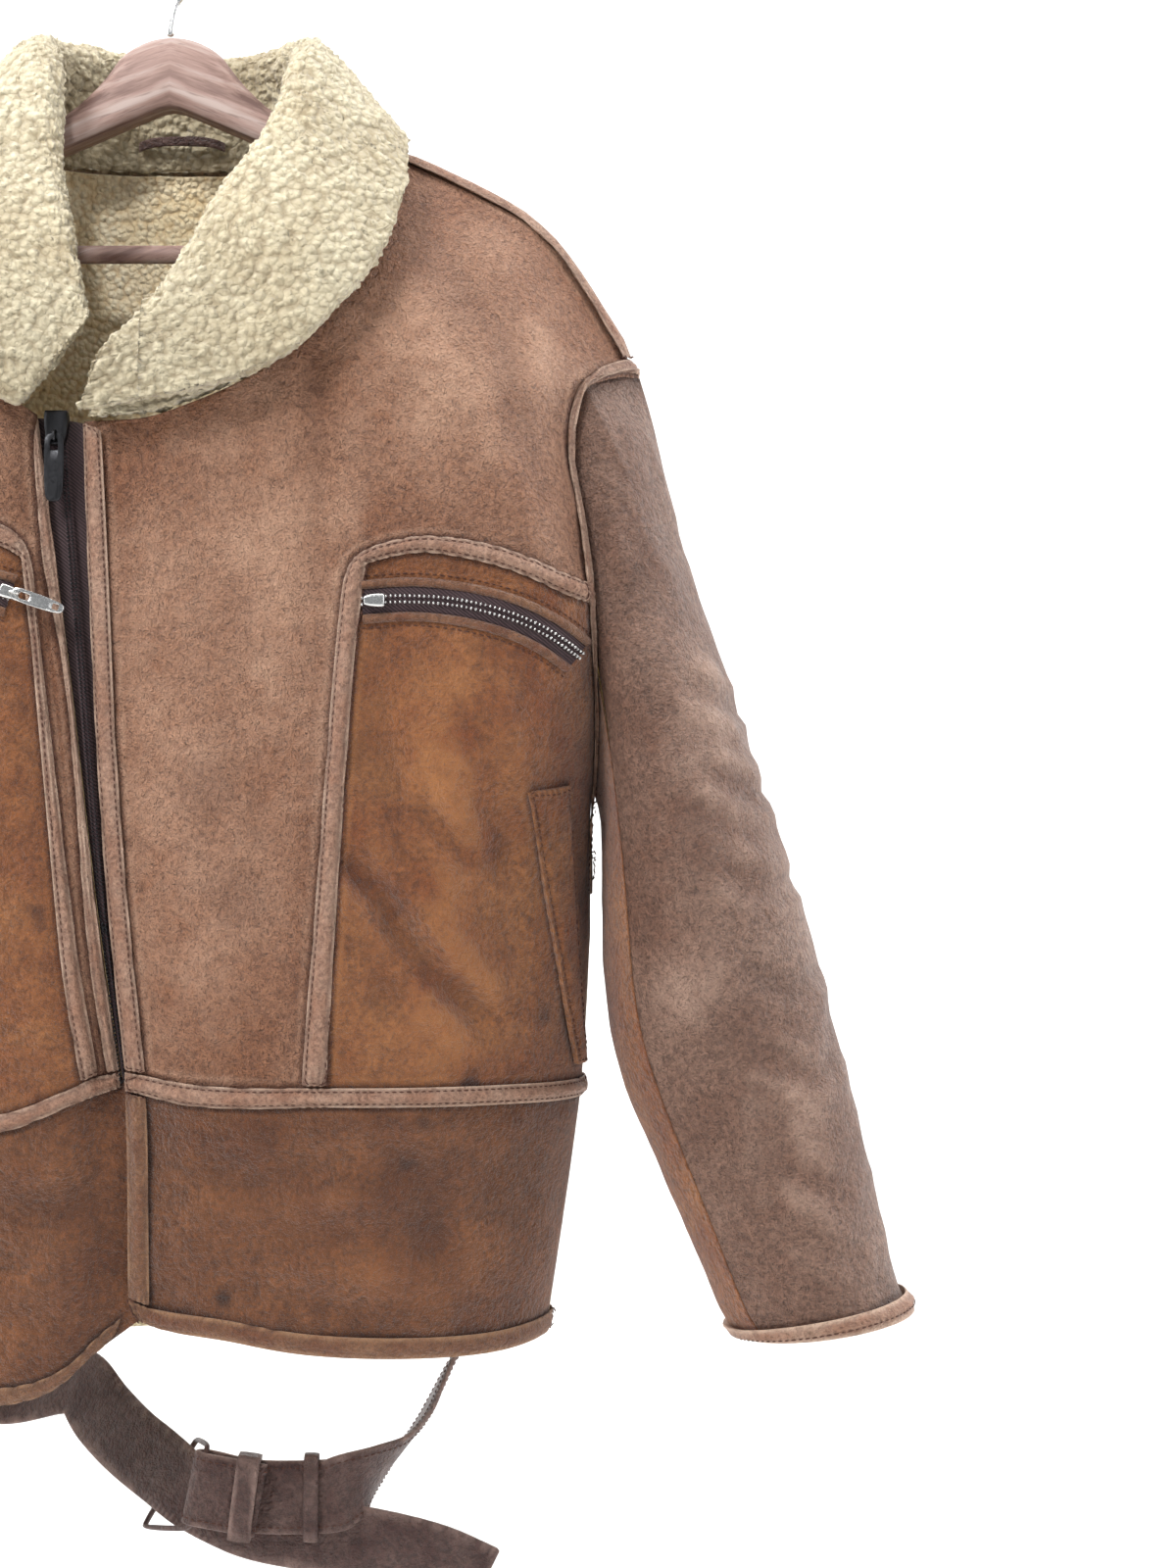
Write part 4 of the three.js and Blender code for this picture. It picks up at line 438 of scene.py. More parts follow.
@dataclass(frozen=True)
class Wool:
    """Shorn sheepskin wool: cream locks with painted shade in the valleys, soft at its edge."""

    name: str
    base: str
    tip: str
    # Painted shade: the colour of the valleys between the locks.
    valley_shade: str
    lock_mm: float = 4.0
    slot: str = "shorn_wool"

    def build(self) -> bpy.types.Material:
        """Makes the material, with painted shade in the valleys between its locks, from the locks' pattern
        and the piece's pile attribute.
        """
        material, tree, shader, place = new_finish(self.name)
        cloud = add_node(tree, "ShaderNodeTexNoise", {"Vector": place, "Scale": 1000 / 60, "Detail": 4.0})
        share = add_node(
            tree, "ShaderNodeMapRange",
            {"Value": cloud.outputs[0], "From Min": 0.4, "From Max": 0.65, "To Max": 0.6}
        )
        field_tone = add_node(
            tree, "ShaderNodeMix", {
                0: share.outputs[0], 6: linear(self.tip), 7: linear(self.base)
            }, data_type="RGBA"
        )
        bent = add_node(
            tree, "ShaderNodeTexNoise", {"Vector": place, "Scale": 1000 / self.lock_mm, "Detail": 2.0}
        )
        shifted = add_node(
            tree, "ShaderNodeMix", {0: 0.0026, 4: place, 5: bent.outputs["Color"]}, data_type="VECTOR"
        )
        locks = add_node(
            tree, "ShaderNodeTexVoronoi",
            {
                "Vector": shifted.outputs[1], "Scale": 1000 / self.lock_mm, "Smoothness": 0.12
            }, feature="SMOOTH_F1",
        )
        hairs = add_node(
            tree, "ShaderNodeTexNoise",
            {"Vector": shifted.outputs[1], "Scale": 1000 / 1.6, "Detail": 3.0, "Roughness": 0.7},
        )
        pile = add_node(tree, "ShaderNodeAttribute", attribute_name="pile")
        # Painted shade: the wool darkens away from the locks' middles and where the pile is low, between the
        # locks.
        depth = add_node(
            tree, "ShaderNodeMapRange",
            {"Value": locks.outputs["Distance"], "From Min": 0.4, "From Max": 0.78, "To Max": 0.5},
        )
        valley = add_node(
            tree, "ShaderNodeMapRange",
            {
                "Value": pile.outputs["Fac"], "From Min": 0.1, "From Max": 0.58, "To Min": 0.48,
                "To Max": 0.0
            },
        )
        dark = add_node(
            tree, "ShaderNodeMath", {0: depth.outputs[0], 1: valley.outputs[0]}, operation="MAXIMUM"
        )
        colour = add_node(
            tree, "ShaderNodeMix", {
                0: dark.outputs[0], 6: field_tone.outputs[2], 7: linear(self.valley_shade)
            }, data_type="RGBA"
        )
        tree.links.new(colour.outputs[2], shader.inputs["Base Color"])
        high = add_node(
            tree, "ShaderNodeMath", {0: 1.0, 1: locks.outputs["Distance"]}, operation="SUBTRACT"
        )
        bump = add_node(
            tree, "ShaderNodeBump", {"Strength": 1.0, "Distance": 0.0034, "Height": high.outputs[0]}
        )
        fine = add_node(
            tree, "ShaderNodeBump",
            {"Strength": 0.8, "Distance": 0.0006, "Height": hairs.outputs[0], "Normal": bump.outputs[0]},
        )
        tree.links.new(fine.outputs[0], shader.inputs["Normal"])
        shader.inputs["Roughness"].default_value = 0.95
        shader.inputs["Specular IOR Level"].default_value = 0.1
        shader.inputs["Sheen Weight"].default_value = 0.25
        shader.inputs["Sheen Roughness"].default_value = 0.7
        return material


@dataclass(frozen=True)
class Metal:
    """Plated or blackened metal, a little uneven in its polish."""

    name: str
    slot: str
    colour: str
    roughness: float

    def build(self) -> bpy.types.Material:
        """Makes the material, with fine scratches in its roughness."""
        material, tree, shader, place = new_finish(self.name)
        scratches = add_node(
            tree, "ShaderNodeTexNoise", {"Vector": place, "Scale": 1000 / 1.2, "Detail": 4.0}
        )
        dull = add_node(
            tree, "ShaderNodeMapRange",
            {"Value": scratches.outputs[0], "From Min": 0.3, "From Max": 0.7,
             "To Min": self.roughness * 0.75, "To Max": min(self.roughness * 1.5, 1.0)},
        )
        tree.links.new(dull.outputs[0], shader.inputs["Roughness"])
        shader.inputs["Base Color"].default_value = linear(self.colour)
        shader.inputs["Metallic"].default_value = 1.0
        return material


@dataclass(frozen=True)
class Beech:
    """Beech turned and planed: pinkish, with fine long grain and short dark rays, under matt varnish."""

    name: str = "varnished_beech"
    slot: str = "beech"
    base: str = "#94786e"
    dark: str = "#5f443c"
    light: str = "#ab9890"

    def build(self) -> bpy.types.Material:
        """Makes the wood, its grain along the hanger's arms."""
        material, tree, shader, place = new_finish(self.name)
        parts = add_node(tree, "ShaderNodeSeparateXYZ", {0: place})
        side = add_node(tree, "ShaderNodeMath", {0: parts.outputs[0]}, operation="ABSOLUTE")
        lean = add_node(tree, "ShaderNodeMath", {0: side.outputs[0], 1: 0.36}, operation="MULTIPLY")
        across = add_node(
            tree, "ShaderNodeMath", {0: parts.outputs[2], 1: lean.outputs[0]}, operation="ADD"
        )
        grain_place = add_node(
            tree, "ShaderNodeCombineXYZ", {0: side.outputs[0], 1: parts.outputs[1], 2: across.outputs[0]}
        )
        drawn = add_node(
            tree, "ShaderNodeMapping", {"Vector": grain_place.outputs[0], "Scale": (0.09, 1.0, 1.0)}
        )
        bands = add_node(
            tree, "ShaderNodeTexNoise",
            {"Vector": drawn.outputs[0], "Scale": 1000 / 9, "Detail": 5.0, "Roughness": 0.6}
        )
        tone = add_node(
            tree, "ShaderNodeValToRGB", {0: bands.outputs[0]},
            ((0.36, linear(self.dark)), (0.66, linear(self.light)), (0.52, linear(self.base))),
        )
        rays = add_node(
            tree, "ShaderNodeTexNoise", {"Vector": drawn.outputs[0], "Scale": 1000 / 1.3, "Detail": 2.0}
        )
        flecks = add_node(
            tree, "ShaderNodeMapRange",
            {"Value": rays.outputs[0], "From Min": 0.58, "From Max": 0.72, "To Max": 0.5}
        )
        colour = add_node(
            tree, "ShaderNodeMix", {
                0: flecks.outputs[0], 6: tone.outputs[0], 7: linear(self.dark)
            }, data_type="RGBA"
        )
        tree.links.new(colour.outputs[2], shader.inputs["Base Color"])
        bump = add_node(
            tree, "ShaderNodeBump", {"Strength": 0.3, "Distance": 0.0003, "Height": bands.outputs[0]}
        )
        tree.links.new(bump.outputs[0], shader.inputs["Normal"])
        shader.inputs["Roughness"].default_value = 0.62
        return material


@dataclass(frozen=True)
class Tape:
    """Woven zip tape in herringbone, its ribs 1.6 mm apart."""

    name: str
    colour: str
    light: str
    slot: str = "zip_tape"

    def build(self) -> bpy.types.Material:
        """Makes the cloth, with the slanting ribs in colour and bump."""
        material, tree, shader, place = new_finish(self.name)
        turned = add_node(tree, "ShaderNodeMapping", {"Vector": place, "Rotation": (0.0, 0.9, 0.0)})
        ribs = add_node(
            tree, "ShaderNodeTexWave",
            {"Vector": turned.outputs[0], "Scale": 1000 / 1.6 / 6.28 * 2, "Distortion": 0.6}
        )
        colour = add_node(
            tree, "ShaderNodeMix", {
                0: ribs.outputs[1], 6: linear(self.colour), 7: linear(self.light)
            }, data_type="RGBA"
        )
        tree.links.new(colour.outputs[2], shader.inputs["Base Color"])
        bump = add_node(
            tree, "ShaderNodeBump", {"Strength": 0.8, "Distance": 0.0004, "Height": ribs.outputs[1]}
        )
        tree.links.new(bump.outputs[0], shader.inputs["Normal"])
        shader.inputs["Roughness"].default_value = 0.8
        return material


@dataclass(frozen=True)
class Thread:
    """Waxed sewing thread, twisted."""

    name: str
    colour: str
    slot: str = "binding_leather"

    def build(self) -> bpy.types.Material:
        """Makes the thread's colour with a fine twist in its bump."""
        material, tree, shader, place = new_finish(self.name)
        twist = add_node(tree, "ShaderNodeTexNoise", {"Vector": place, "Scale": 1000 / 0.8, "Detail": 2.0})
        tone = add_node(
            tree, "ShaderNodeMapRange", {"Value": twist.outputs[0], "To Min": 0.0, "To Max": 0.5}
        )
        colour = add_node(
            tree, "ShaderNodeMix", {
                0: tone.outputs[0], 6: linear(self.colour), 7: linear("#2a1812")
            }, data_type="RGBA"
        )
        tree.links.new(colour.outputs[2], shader.inputs["Base Color"])
        shader.inputs["Roughness"].default_value = 0.7
        return material


@dataclass
class Finishes:
    """The materials of the whole jacket, each built once."""

    nappa: Hide = Hide(
        "grain_sheepskin_nappa", "grain_leather", "#976343", "#cda184", "#4c281a", 0.46, 2.0, 0.9, 90, 0.45
    )
    # The sleeves get a darker, greyer copy of the nappa.
    arm: Hide = Hide(
        "sleeve_sheepskin_nappa", "grain_leather", "#7f5946", "#bd9b87", "#3a2118", 0.46, 2.0, 0.9, 80, 0.45
    )
    suede: Hide = Hide(
        "sheepskin_suede", "suede_leather", "#894a20", "#b67845", "#43200f", 0.9, 1.8, 0.7, 48, 0.8, 1.0
    )
    hem: Hide = Hide(
        "hem_sheepskin_suede", "suede_leather", "#6e3c1a", "#965d33", "#331809", 0.9, 1.8, 0.7, 48, 0.8, 1.0
    )
    binding: Hide = Hide(
        "binding_nappa", "binding_leather", "#ad7e64", "#e6c6ae", "#512f22", 0.5, 1.6, 0.3, 25, 0.4
    )
    suede_strip: Hide = Hide(
        "suede_binding", "suede_strip", "#7c4a2e", "#b08662", "#4a2a1c", 0.85, 1.6, 0.35, 25, 0.5, 0.8
    )
    belt: Hide = Hide(
        "waxed_belt_leather", "belt_leather", "#4b2c26", "#a88b80", "#190c0c", 0.44, 1.8, 0.35, 20, 0.25
    )
    # Each wool's last colour is the painted shade between its locks.
    wool: Wool = Wool("shorn_collar_wool", "#b6a583", "#d5caac", "#765f3c", 4.8)
    lining: Wool = Wool("shorn_lining_wool", "#f6deac", "#fff2d2", "#cfa868", 3.6)
    black: Metal = Metal("blackened_zinc", "blackened_metal", "#3a3a3c", 0.38)
    silver: Metal = Metal("nickel_plate", "nickel", "#d6d6d4", 0.22)
    steel: Metal = Metal("bright_steel_wire", "hook_steel", "#c8c8c8", 0.2)
    beech: Beech = Beech()
    tape: Tape = Tape("herringbone_tape", "#2b1e20", "#523e41")
    thread: Thread = Thread("waxed_thread", "#5a3527")
    built: dict = field(default_factory=dict)

    def get(self, finish: Any) -> bpy.types.Material:
        """Gives a finish's material, and builds it the first time."""
        if finish.name not in self.built:
            self.built[finish.name] = finish.build()
        return self.built[finish.name]


# Pieces made from the part's solids


@dataclass
class Copy:
    """A smooth copy of one of the part's solids, and the sharp border lines that it had."""

    piece: bpy.types.Object
    rim: kdtree.KDTree

    def points(self) -> np.ndarray:
        """Gives the places of its vertices in metres."""
        co = np.empty(len(self.piece.data.vertices) * 3)
        self.piece.data.vertices.foreach_get("co", co)
        return co.reshape(-1, 3)

    def normals(self) -> np.ndarray:
        """Gives its vertices' normals."""
        out = np.empty(len(self.piece.data.vertices) * 3)
        self.piece.data.vertex_normals.foreach_get("vector", out)
        return out.reshape(-1, 3)

    def move(self, points: np.ndarray) -> None:
        """Puts its vertices at new places."""
        self.piece.data.vertices.foreach_set("co", points.ravel())
        self.piece.data.update()

    def rim_distance(self, points: np.ndarray) -> np.ndarray:
        """Measures how far points are from the piece's borders, in millimetres."""
        return np.array([self.rim.find(p)[2] for p in points]) / MM

    def cover(self, *materials: bpy.types.Material) -> None:
        """Gives the piece these materials and no others."""
        self.piece.data.materials.clear()
        for material in materials:
            self.piece.data.materials.append(material)

    def paint(self, name: str, values: np.ndarray) -> None:
        """Writes a value for each vertex, which a material reads by this name."""
        layer = self.piece.data.attributes.get(name) or self.piece.data.attributes.new(
            name, "FLOAT", "POINT"
        )
        layer.data.foreach_set("value", np.clip(values, 0, 1).astype(np.float32))


def smooth_copy(node: str, name: str, levels: int, crease: float = 1.0) -> Copy:
    """Copies a solid, merges its corners, makes quads and subdivides it.

    Args:
        node: the solid's name in the part.
        name: the new piece's name.
        levels: steps of subdivision.
        crease: how sharp the solid's edges stay, from 0 to 1.

    Returns:
        The copy, in the scene's collection.
    """
    work = bmesh.new()
    work.from_mesh(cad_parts[node].data)
    bmesh.ops.remove_doubles(work, verts=work.verts, dist=MERGE)
    sharp_before = {e for e in work.edges if len(e.link_faces) == 2 and e.calc_face_angle(0.0) > SHARP}
    for edge in sharp_before:
        edge.smooth = False
    bmesh.ops.join_triangles(
        work, faces=work.faces, angle_face_threshold=QUAD_FLAT, angle_shape_threshold=QUAD_SQUARE,
        cmp_sharp=True
    )
    layer = work.edges.layers.float.get("crease_edge") or work.edges.layers.float.new("crease_edge")
    samples: list[Vector] = []
    for edge in work.edges:
        if len(edge.link_faces) == 2 and edge.calc_face_angle(0.0) > SHARP:
            edge[layer] = crease
            a, b = edge.verts[0].co, edge.verts[1].co
            steps = max(int((b - a).length / (3 * MM)), 1)
            samples += [a.lerp(b, s / steps) for s in range(steps + 1)]
        edge.smooth = True
    for face in work.faces:
        face.smooth = True
    mesh = bpy.data.meshes.new(name)
    work.to_mesh(mesh)
    work.free()
    piece = put(name, mesh)
    if levels:
        modifier = piece.modifiers.new("smooth", "SUBSURF")
        modifier.levels = modifier.render_levels = levels
        piece.data = evaluated_mesh(piece, name)
        piece.modifiers.clear()
        bpy.data.meshes.remove(mesh)
    return Copy(piece, search_tree(samples))


def strip_borders(nodes: tuple) -> kdtree.KDTree:
    """Gathers points along the raised strips' borders, where the hide sinks and darkens.

    Args:
        nodes: the strips' solids.

    Returns:
        A search tree of the points.
    """
    samples: list[Vector] = []
    for node in nodes:
        work = bmesh.new()
        work.from_mesh(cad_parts[node].data)
        bmesh.ops.remove_doubles(work, verts=work.verts, dist=MERGE)
        for edge in work.edges:
            if len(edge.link_faces) == 2 and edge.calc_face_angle(0.0) > SHARP:
                a, b = edge.verts[0].co, edge.verts[1].co
                steps = max(int((b - a).length / (2 * MM)), 1)
                samples += [a.lerp(b, s / steps) for s in range(steps + 1)]
        work.free()
    return search_tree(samples)


def evaluated_mesh(piece: bpy.types.Object, name: str) -> bpy.types.Mesh:
    """Gives a plain mesh of an object with its modifiers applied."""
    depsgraph = bpy.context.evaluated_depsgraph_get()
    made = bpy.data.meshes.new_from_object(piece.evaluated_get(depsgraph), depsgraph=depsgraph)
    made.name = name
    return made


def hand_in(piece: bpy.types.Object, body: str, nodes: tuple, slot: str) -> None:
    """Puts a piece on its body in place of its solids, and logs its count of faces."""
    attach(piece, body)
    if nodes:
        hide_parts(*nodes)
    LOG.info("%s: %d faces on %s", piece.name, len(piece.data.polygons), body)


@dataclass(frozen=True)
class Fold:
    """A fold or crease in the cloth, along a line in x and z."""

    path: tuple
    depth: float
    width: float
    ridge: float = 0.5

    def height(self, flat: np.ndarray) -> np.ndarray:
        """Height that the fold adds at places in x and z: a valley with a ridge on either side."""
        distance, along = line_distance(flat, spline(self.path))
        fade = smoothstep(along / 0.16) * smoothstep((1 - along) / 0.16)
        valley = np.exp(-((distance / self.width) ** 2))
        beside = np.exp(-(((distance - 1.9 * self.width) / self.width) ** 2))
        return self.depth * fade * (self.ridge * beside - valley)


@dataclass(frozen=True)
class Mark:
    """A stain or scuff at a place in x and z."""

    x: float
    z: float
    reach: float
    strength: float
    long: float = 1.0


@dataclass(frozen=True)
class Cut:
    """A patch at a place in x and z: a stain, a scuff, or a painted highlight."""

    node: str
    name: str
    finish: str
    facing: Facing
    flat_m: tuple
    area: float
    levels: int = 3
    roll: float = 1.5
    pucker: float = 0.5
    seed: float = 1.0
    folds: tuple = ()
    marks: tuple = ()
    highlights: tuple = ()
    wool_depth: float = 1.6
    inner_seam: tuple = ()


def outward(points: np.ndarray, facing: Facing, middle: Optional[np.ndarray] = None) -> np.ndarray:
    """Rough direction out of the garment at each point.

    Args:
        points: places in metres.
        facing: which side of the garment they are on.
        middle: the axis line of a sleeve, as two points.

    Returns:
        Directions as rows.
    """
    if facing is Facing.ROUND and middle is not None:
        start, end = middle
        share = np.clip((points[:, 2] - start[2]) / (end[2] - start[2]), -0.2, 1.2)
        return points - (start + share[:, None] * (end - start))
    way = np.zeros_like(points)
    way[:, 1] = -1 if facing is Facing.FRONT else 1
    return way


@dataclass
class Shell:
    """The jacket's main pieces of sheepskin."""

    finishes: Finishes
    seams: kdtree.KDTree
    made: dict = field(default_factory=dict)
    turn: float = 0.02
    turn_width: float = 0.3
    held_edge: float = 16
    seam_width: float = 5
    fold_edge: float = 9
    roll_size: float = 60
    pucker_size: float = 9
    pucker_reach: float = 22
    lining_lock: float = 6.5
    left_folds: tuple = (
        Fold(((104, -530), (126, -556), (152, -592), (192, -634)), 4.4, 8, 0.8),
        Fold(((148, -504), (160, -520), (170, -534), (182, -546)), 3.2, 7, 0.7),
        Fold(((112, -462), (134, -500), (140, -560), (128, -640)), 2.6, 14, 0.8),
        Fold(((176, -450), (190, -500), (196, -560)), 2.2, 10),
        Fold(((120, -620), (150, -610), (190, -632)), 1.5, 8),
    )
    chest_folds: tuple = (
        Fold(((92, -245), (93, -300), (94, -360), (92, -410)), 1.5, 9),
        Fold(((150, -170), (180, -250), (215, -330)), 1.6, 14),
        Fold(((50, -480), (66, -512), (60, -560)), 0.9, 7),
        Fold(((20, -380), (48, -420), (70, -470)), 0.8, 16),
        Fold(((196, -230), (204, -290), (222, -352)), 1.8, 9),
    )
    band_folds: tuple = (
        Fold(((20, -700), (60, -715), (110, -705), (150, -720)), 2.4, 12),
        Fold(((60, -745), (110, -740), (170, -752)), 2.0, 12),
        Fold(((120, -680), (150, -715), (160, -770)), 2.0, 10),
        Fold(((30, -775), (80, -780), (130, -790)), 1.4, 9),
    )
    # Painted highlights: pale patches where light falls on the chest, the sides and the hem bands.
    chest_highlights: tuple = (
        Mark(28, -470, 62, 0.62, 3.0), Mark(112, -300, 70, 0.38, 1.2), Mark(96, -420, 34, 0.3, 2.2),
        Mark(180, -240, 60, 0.6, 1.3), Mark(-110, -300, 70, 0.4, 1.3),
    )
    side_highlights: tuple = (
        Mark(150, -470, 46, 0.5, 1.0), Mark(132, -640, 40, 0.45, 1.0), Mark(188, -580, 26, 0.4, 1.8),
        Mark(-150, -520, 60, 0.5, 1.2),
    )
    band_highlights: tuple = (
        Mark(60, -730, 44, 0.5, 0.6), Mark(150, -765, 40, 0.45, 0.6), Mark(-120, -760, 60, 0.5, 0.6)
    )
    marks: tuple = (
        Mark(177, -662, 4.5, 0.8), Mark(218, -626, 4, 0.7), Mark(143, -706, 4, 0.6), Mark(41, -780, 4, 0.8),
        Mark(151, -682, 3.5, 0.5), Mark(-57, -569, 4, 0.7),
        Mark(35, -497, 15, 0.22), Mark(54, -559, 15, 0.25),
    )

    def cuts(self) -> tuple:
        """Gives the cutting list with the flat size of each piece in metres."""
        mirrored = tuple(Fold(tuple((-x, z) for x, z in f.path), f.depth, f.width) for f in self.left_folds)
        across = tuple(
            Fold(tuple((-x - 20, z) for x, z in f.path), f.depth, f.width) for f in self.chest_folds
        )
        bands = tuple(
            Fold(tuple((-x, z - 14) for x, z in f.path), f.depth, f.width) for f in self.band_folds
        )
        return (
            Cut("chest_panel_left", "chest_left", "nappa", Facing.FRONT, (0.33, 0.56), 0.092, seed=1,
                folds=self.chest_folds, marks=self.marks, highlights=self.chest_highlights),
            Cut("chest_panel_right", "chest_right", "nappa", Facing.FRONT, (0.27, 0.56), 0.05, seed=2,
                folds=across, marks=self.marks, highlights=self.chest_highlights),
            Cut("side_front_left", "side_front_left_hide", "suede", Facing.FRONT,
                (0.2, 0.32), 0.054, roll=2.4, seed=3,
                folds=self.left_folds, marks=self.marks, highlights=self.side_highlights),
            Cut("side_front_right", "side_front_right_hide", "suede", Facing.FRONT,
                (0.26, 0.35), 0.077, roll=2.4, seed=4,
                folds=mirrored, marks=self.marks, highlights=self.side_highlights),
            Cut("hem_band_left", "hem_band_left_hide", "hem", Facing.FRONT,
                (0.3, 0.16), 0.042, roll=2.6, seed=5,
                folds=self.band_folds, marks=self.marks, highlights=self.band_highlights),
            Cut("hem_band_right", "hem_band_right_hide", "hem", Facing.FRONT,
                (0.3, 0.19), 0.043, roll=2.6, seed=6,
                folds=bands, marks=self.marks, highlights=self.band_highlights),
            Cut("back_panel", "back_hide", "nappa", Facing.BACK,
                (0.64, 0.58), 0.31, levels=2, roll=2.0, seed=7,
                inner_seam=((-36, -110), (-35, -190), (-37, -290))),
            Cut(
                "hem_band_back", "hem_band_back_hide", "hem", Facing.BACK, (0.56, 0.18), 0.078, levels=2,
                roll=2.2, seed=8
            ),
        )

    def build(self) -> None:
        """Cuts and shapes every piece of the body."""
        for cut in self.cuts():
            self.made[cut.node] = self.shape(cut)

    def shape(self, cut: Cut, middle: Optional[np.ndarray] = None) -> Copy:
        """Shapes one piece: rolls, folds and puckers outside, wool inside.

        Args:
            cut: the piece's entry in the cutting list.
            middle: the axis line of a sleeve.

        Returns:
            The piece, riding on the jacket.
        """
        copy = smooth_copy(cut.node, cut.name, cut.levels)
        points, normals = copy.points(), copy.normals()
        way = outward(points, cut.facing, middle)
        side = np.einsum("ij,ij->i", normals, way) / np.maximum(np.linalg.norm(way, axis=1), 1e-9)
        outside = smoothstep((side - self.turn) / self.turn_width)
        inside = smoothstep((-side - self.turn) / self.turn_width)
        rim = copy.rim_distance(points)
        free = smoothstep(rim / self.held_edge)
        flat = points[:, [0, 2]] / MM
        height = cut.roll * free * waves(points, self.roll_size, cut.seed, 3)
        gathered = smoothstep(rim / self.seam_width) * np.exp(-rim / self.pucker_reach)
        height += cut.pucker * gathered * waves(points, self.pucker_size, cut.seed + 7, 1)
        for fold in cut.folds:
            height += smoothstep(rim / self.fold_edge) * fold.height(flat)
        pile = curls(points, self.lining_lock, cut.seed)
        if cut.inner_seam:
            beside, _ = line_distance(flat, np.array(cut.inner_seam, float))
            pile = pile * (1 - 0.9 * np.exp(-((beside / 2.6) ** 2)))
        inner = cut.wool_depth * (pile - 0.6) * smoothstep(rim / 4)
        copy.move(points + normals * ((outside * height - inside * height + inside * inner) * MM)[:, None])
        # The pile also drives the painted shade in the lining's valleys.
        copy.paint("pile", 0.25 + 0.75 * pile)
        seam = np.array([self.seams.find(p)[2] for p in points]) / MM
        # Painted highlights: broad pale patches where light falls, added to the paler fold ridges and the
        # band beside the seams.
        pale = self.stains_and_highlights(flat, cut.highlights) * (0.8 + 0.35 * waves(points, 34, cut.seed + 3, 2))
        ridge = 0.45 * smoothstep(height / 2.8)
        copy.paint("wear_and_highlight", ridge + 0.45 * np.exp(-(((seam - 3.5) / 1.6) ** 2)) + pale)
        # Painted shade: the hide darkens at the strips' borders, more faintly further off, and in the fold
        # valleys; the marks are real stains.
        shade = 0.75 * np.exp(-((seam / 1.9) ** 2)) + 0.22 * np.exp(-seam / 9)
        copy.paint(
            "stain_and_shade", self.stains_and_highlights(flat, cut.marks) + shade + 0.26 * smoothstep(-height / 2.6) * outside
        )
        self.dress(copy, cut.finish, side)
        hand_in(copy.piece, JACKET, (cut.node,), getattr(self.finishes, cut.finish).slot)
        return copy

    def stains_and_highlights(self, flat: np.ndarray, marks: tuple) -> np.ndarray:
        """Adds up the marks at places in x and z."""
        total = np.zeros(len(flat))
        for mark in marks:
            away = np.hypot(flat[:, 0] - mark.x, (flat[:, 1] - mark.z) / mark.long)
            total += mark.strength * smoothstep(1.6 - away / mark.reach)
        return total

    def dress(self, copy: Copy, finish: str, side: np.ndarray) -> None:
        """Gives the outer faces the hide and the inner ones the wool."""
        mesh = copy.piece.data
        outer = self.finishes.get(getattr(self.finishes, finish))
        copy.cover(outer, self.finishes.get(self.finishes.lining))
        corners = np.array([poly.vertices[:4] if len(poly.vertices) > 3 else [
            *poly.vertices, poly.vertices[0]
        ]
                            for poly in mesh.polygons])
        inner = (side[corners].mean(axis=1) < -0.15).astype(np.int32)
        mesh.polygons.foreach_set("material_index", inner)
        mesh.update()


@dataclass
class Sleeves:
    """Both sleeves: the outer piece of nappa, the underarm piece of suede, with cross creases."""

    shell: Shell
    creases: tuple = (-448, -497, -552, -606, -653, -715, -752)
    top: tuple = (0.262, 0.0, -0.385)
    end: tuple = (0.372, -0.033, -0.8)

    def build(self) -> None:
        """Shapes the four sleeve pieces."""
        for side, name in ((1, "left"), (-1, "right")):
            middle = np.array([self.top, self.end]) * np.array([side, 1, 1])
            folds = tuple(
                Fold(((side * (290 + 0.21 * (-448 - z)), z + 12), (side * (325 + 0.2 * (-448 - z)), z - 6),
                      (side * (350 + 0.16 * (-448 - z)), z + 10)), 1.9 - 0.1 * k, 6.0, 0.9)
                for k, z in enumerate(self.creases)
            )
            self.shell.made[f"sleeve_outer_{name}"] = self.shell.shape(
                Cut(f"sleeve_outer_{name}", f"sleeve_{name}_hide", "arm", Facing.ROUND, (0.42, 0.58), 0.14,
                    roll=3.0, seed=11 + side, folds=folds,
                    # Painted highlights: pale streaks where light falls along the sleeve.
                    highlights=(
                        Mark(side * 300, -520, 26, 0.5, 5.0), Mark(side * 345, -690, 22, 0.5, 3.0)
                    )), middle)
            self.shell.made[f"sleeve_under_{name}"] = self.shell.shape(
                Cut(f"sleeve_under_{name}", f"underarm_{name}_hide", "suede", Facing.ROUND,
                    (0.17, 0.4), 0.036,
                    roll=1.8, seed=14 + side, folds=folds[1:]), middle)


@dataclass
class Collar:
    """The big wool collar, curly wool on every side."""

    finishes: Finishes
    lock: float = 7.5
    rise: float = 4.8
    meeting: float = 2.6

    def build(self) -> None:
        """Makes both halves."""
        for node, area in (("collar_left", 0.068), ("collar_right", 0.0613)):
            self.half(node, area)

    def half(self, node: str, area: float) -> None:
        """Makes one half: every side carries locks of wool, and the edge at the middle meets the other half.
        """
        copy = smooth_copy(node, f"{node}_wool", 4, 0.6)
        points, normals = copy.points(), copy.normals()
        big = curls(points, self.lock, 3)
        small = curls(points, self.lock * 0.42, 5)
        drift = waves(points, 38, 4, 2)
        pile = 0.6 * big + 0.4 * small
        height = self.rise * (pile - 0.6) + 1.8 * drift
        placed = points + normals * (height * MM)[:, None]
        side = 1 if node == "collar_left" else -1
        joined = np.abs(points[:, 0]) < self.meeting * MM
        placed[joined, 0] = -side * MM
        copy.move(placed)
        # The pile drives the painted shade in the wool's valleys.
        copy.paint("pile", pile + 0.22 * drift)
        copy.cover(self.finishes.get(self.finishes.wool))
        hand_in(copy.piece, JACKET, (node,), self.finishes.wool.slot)


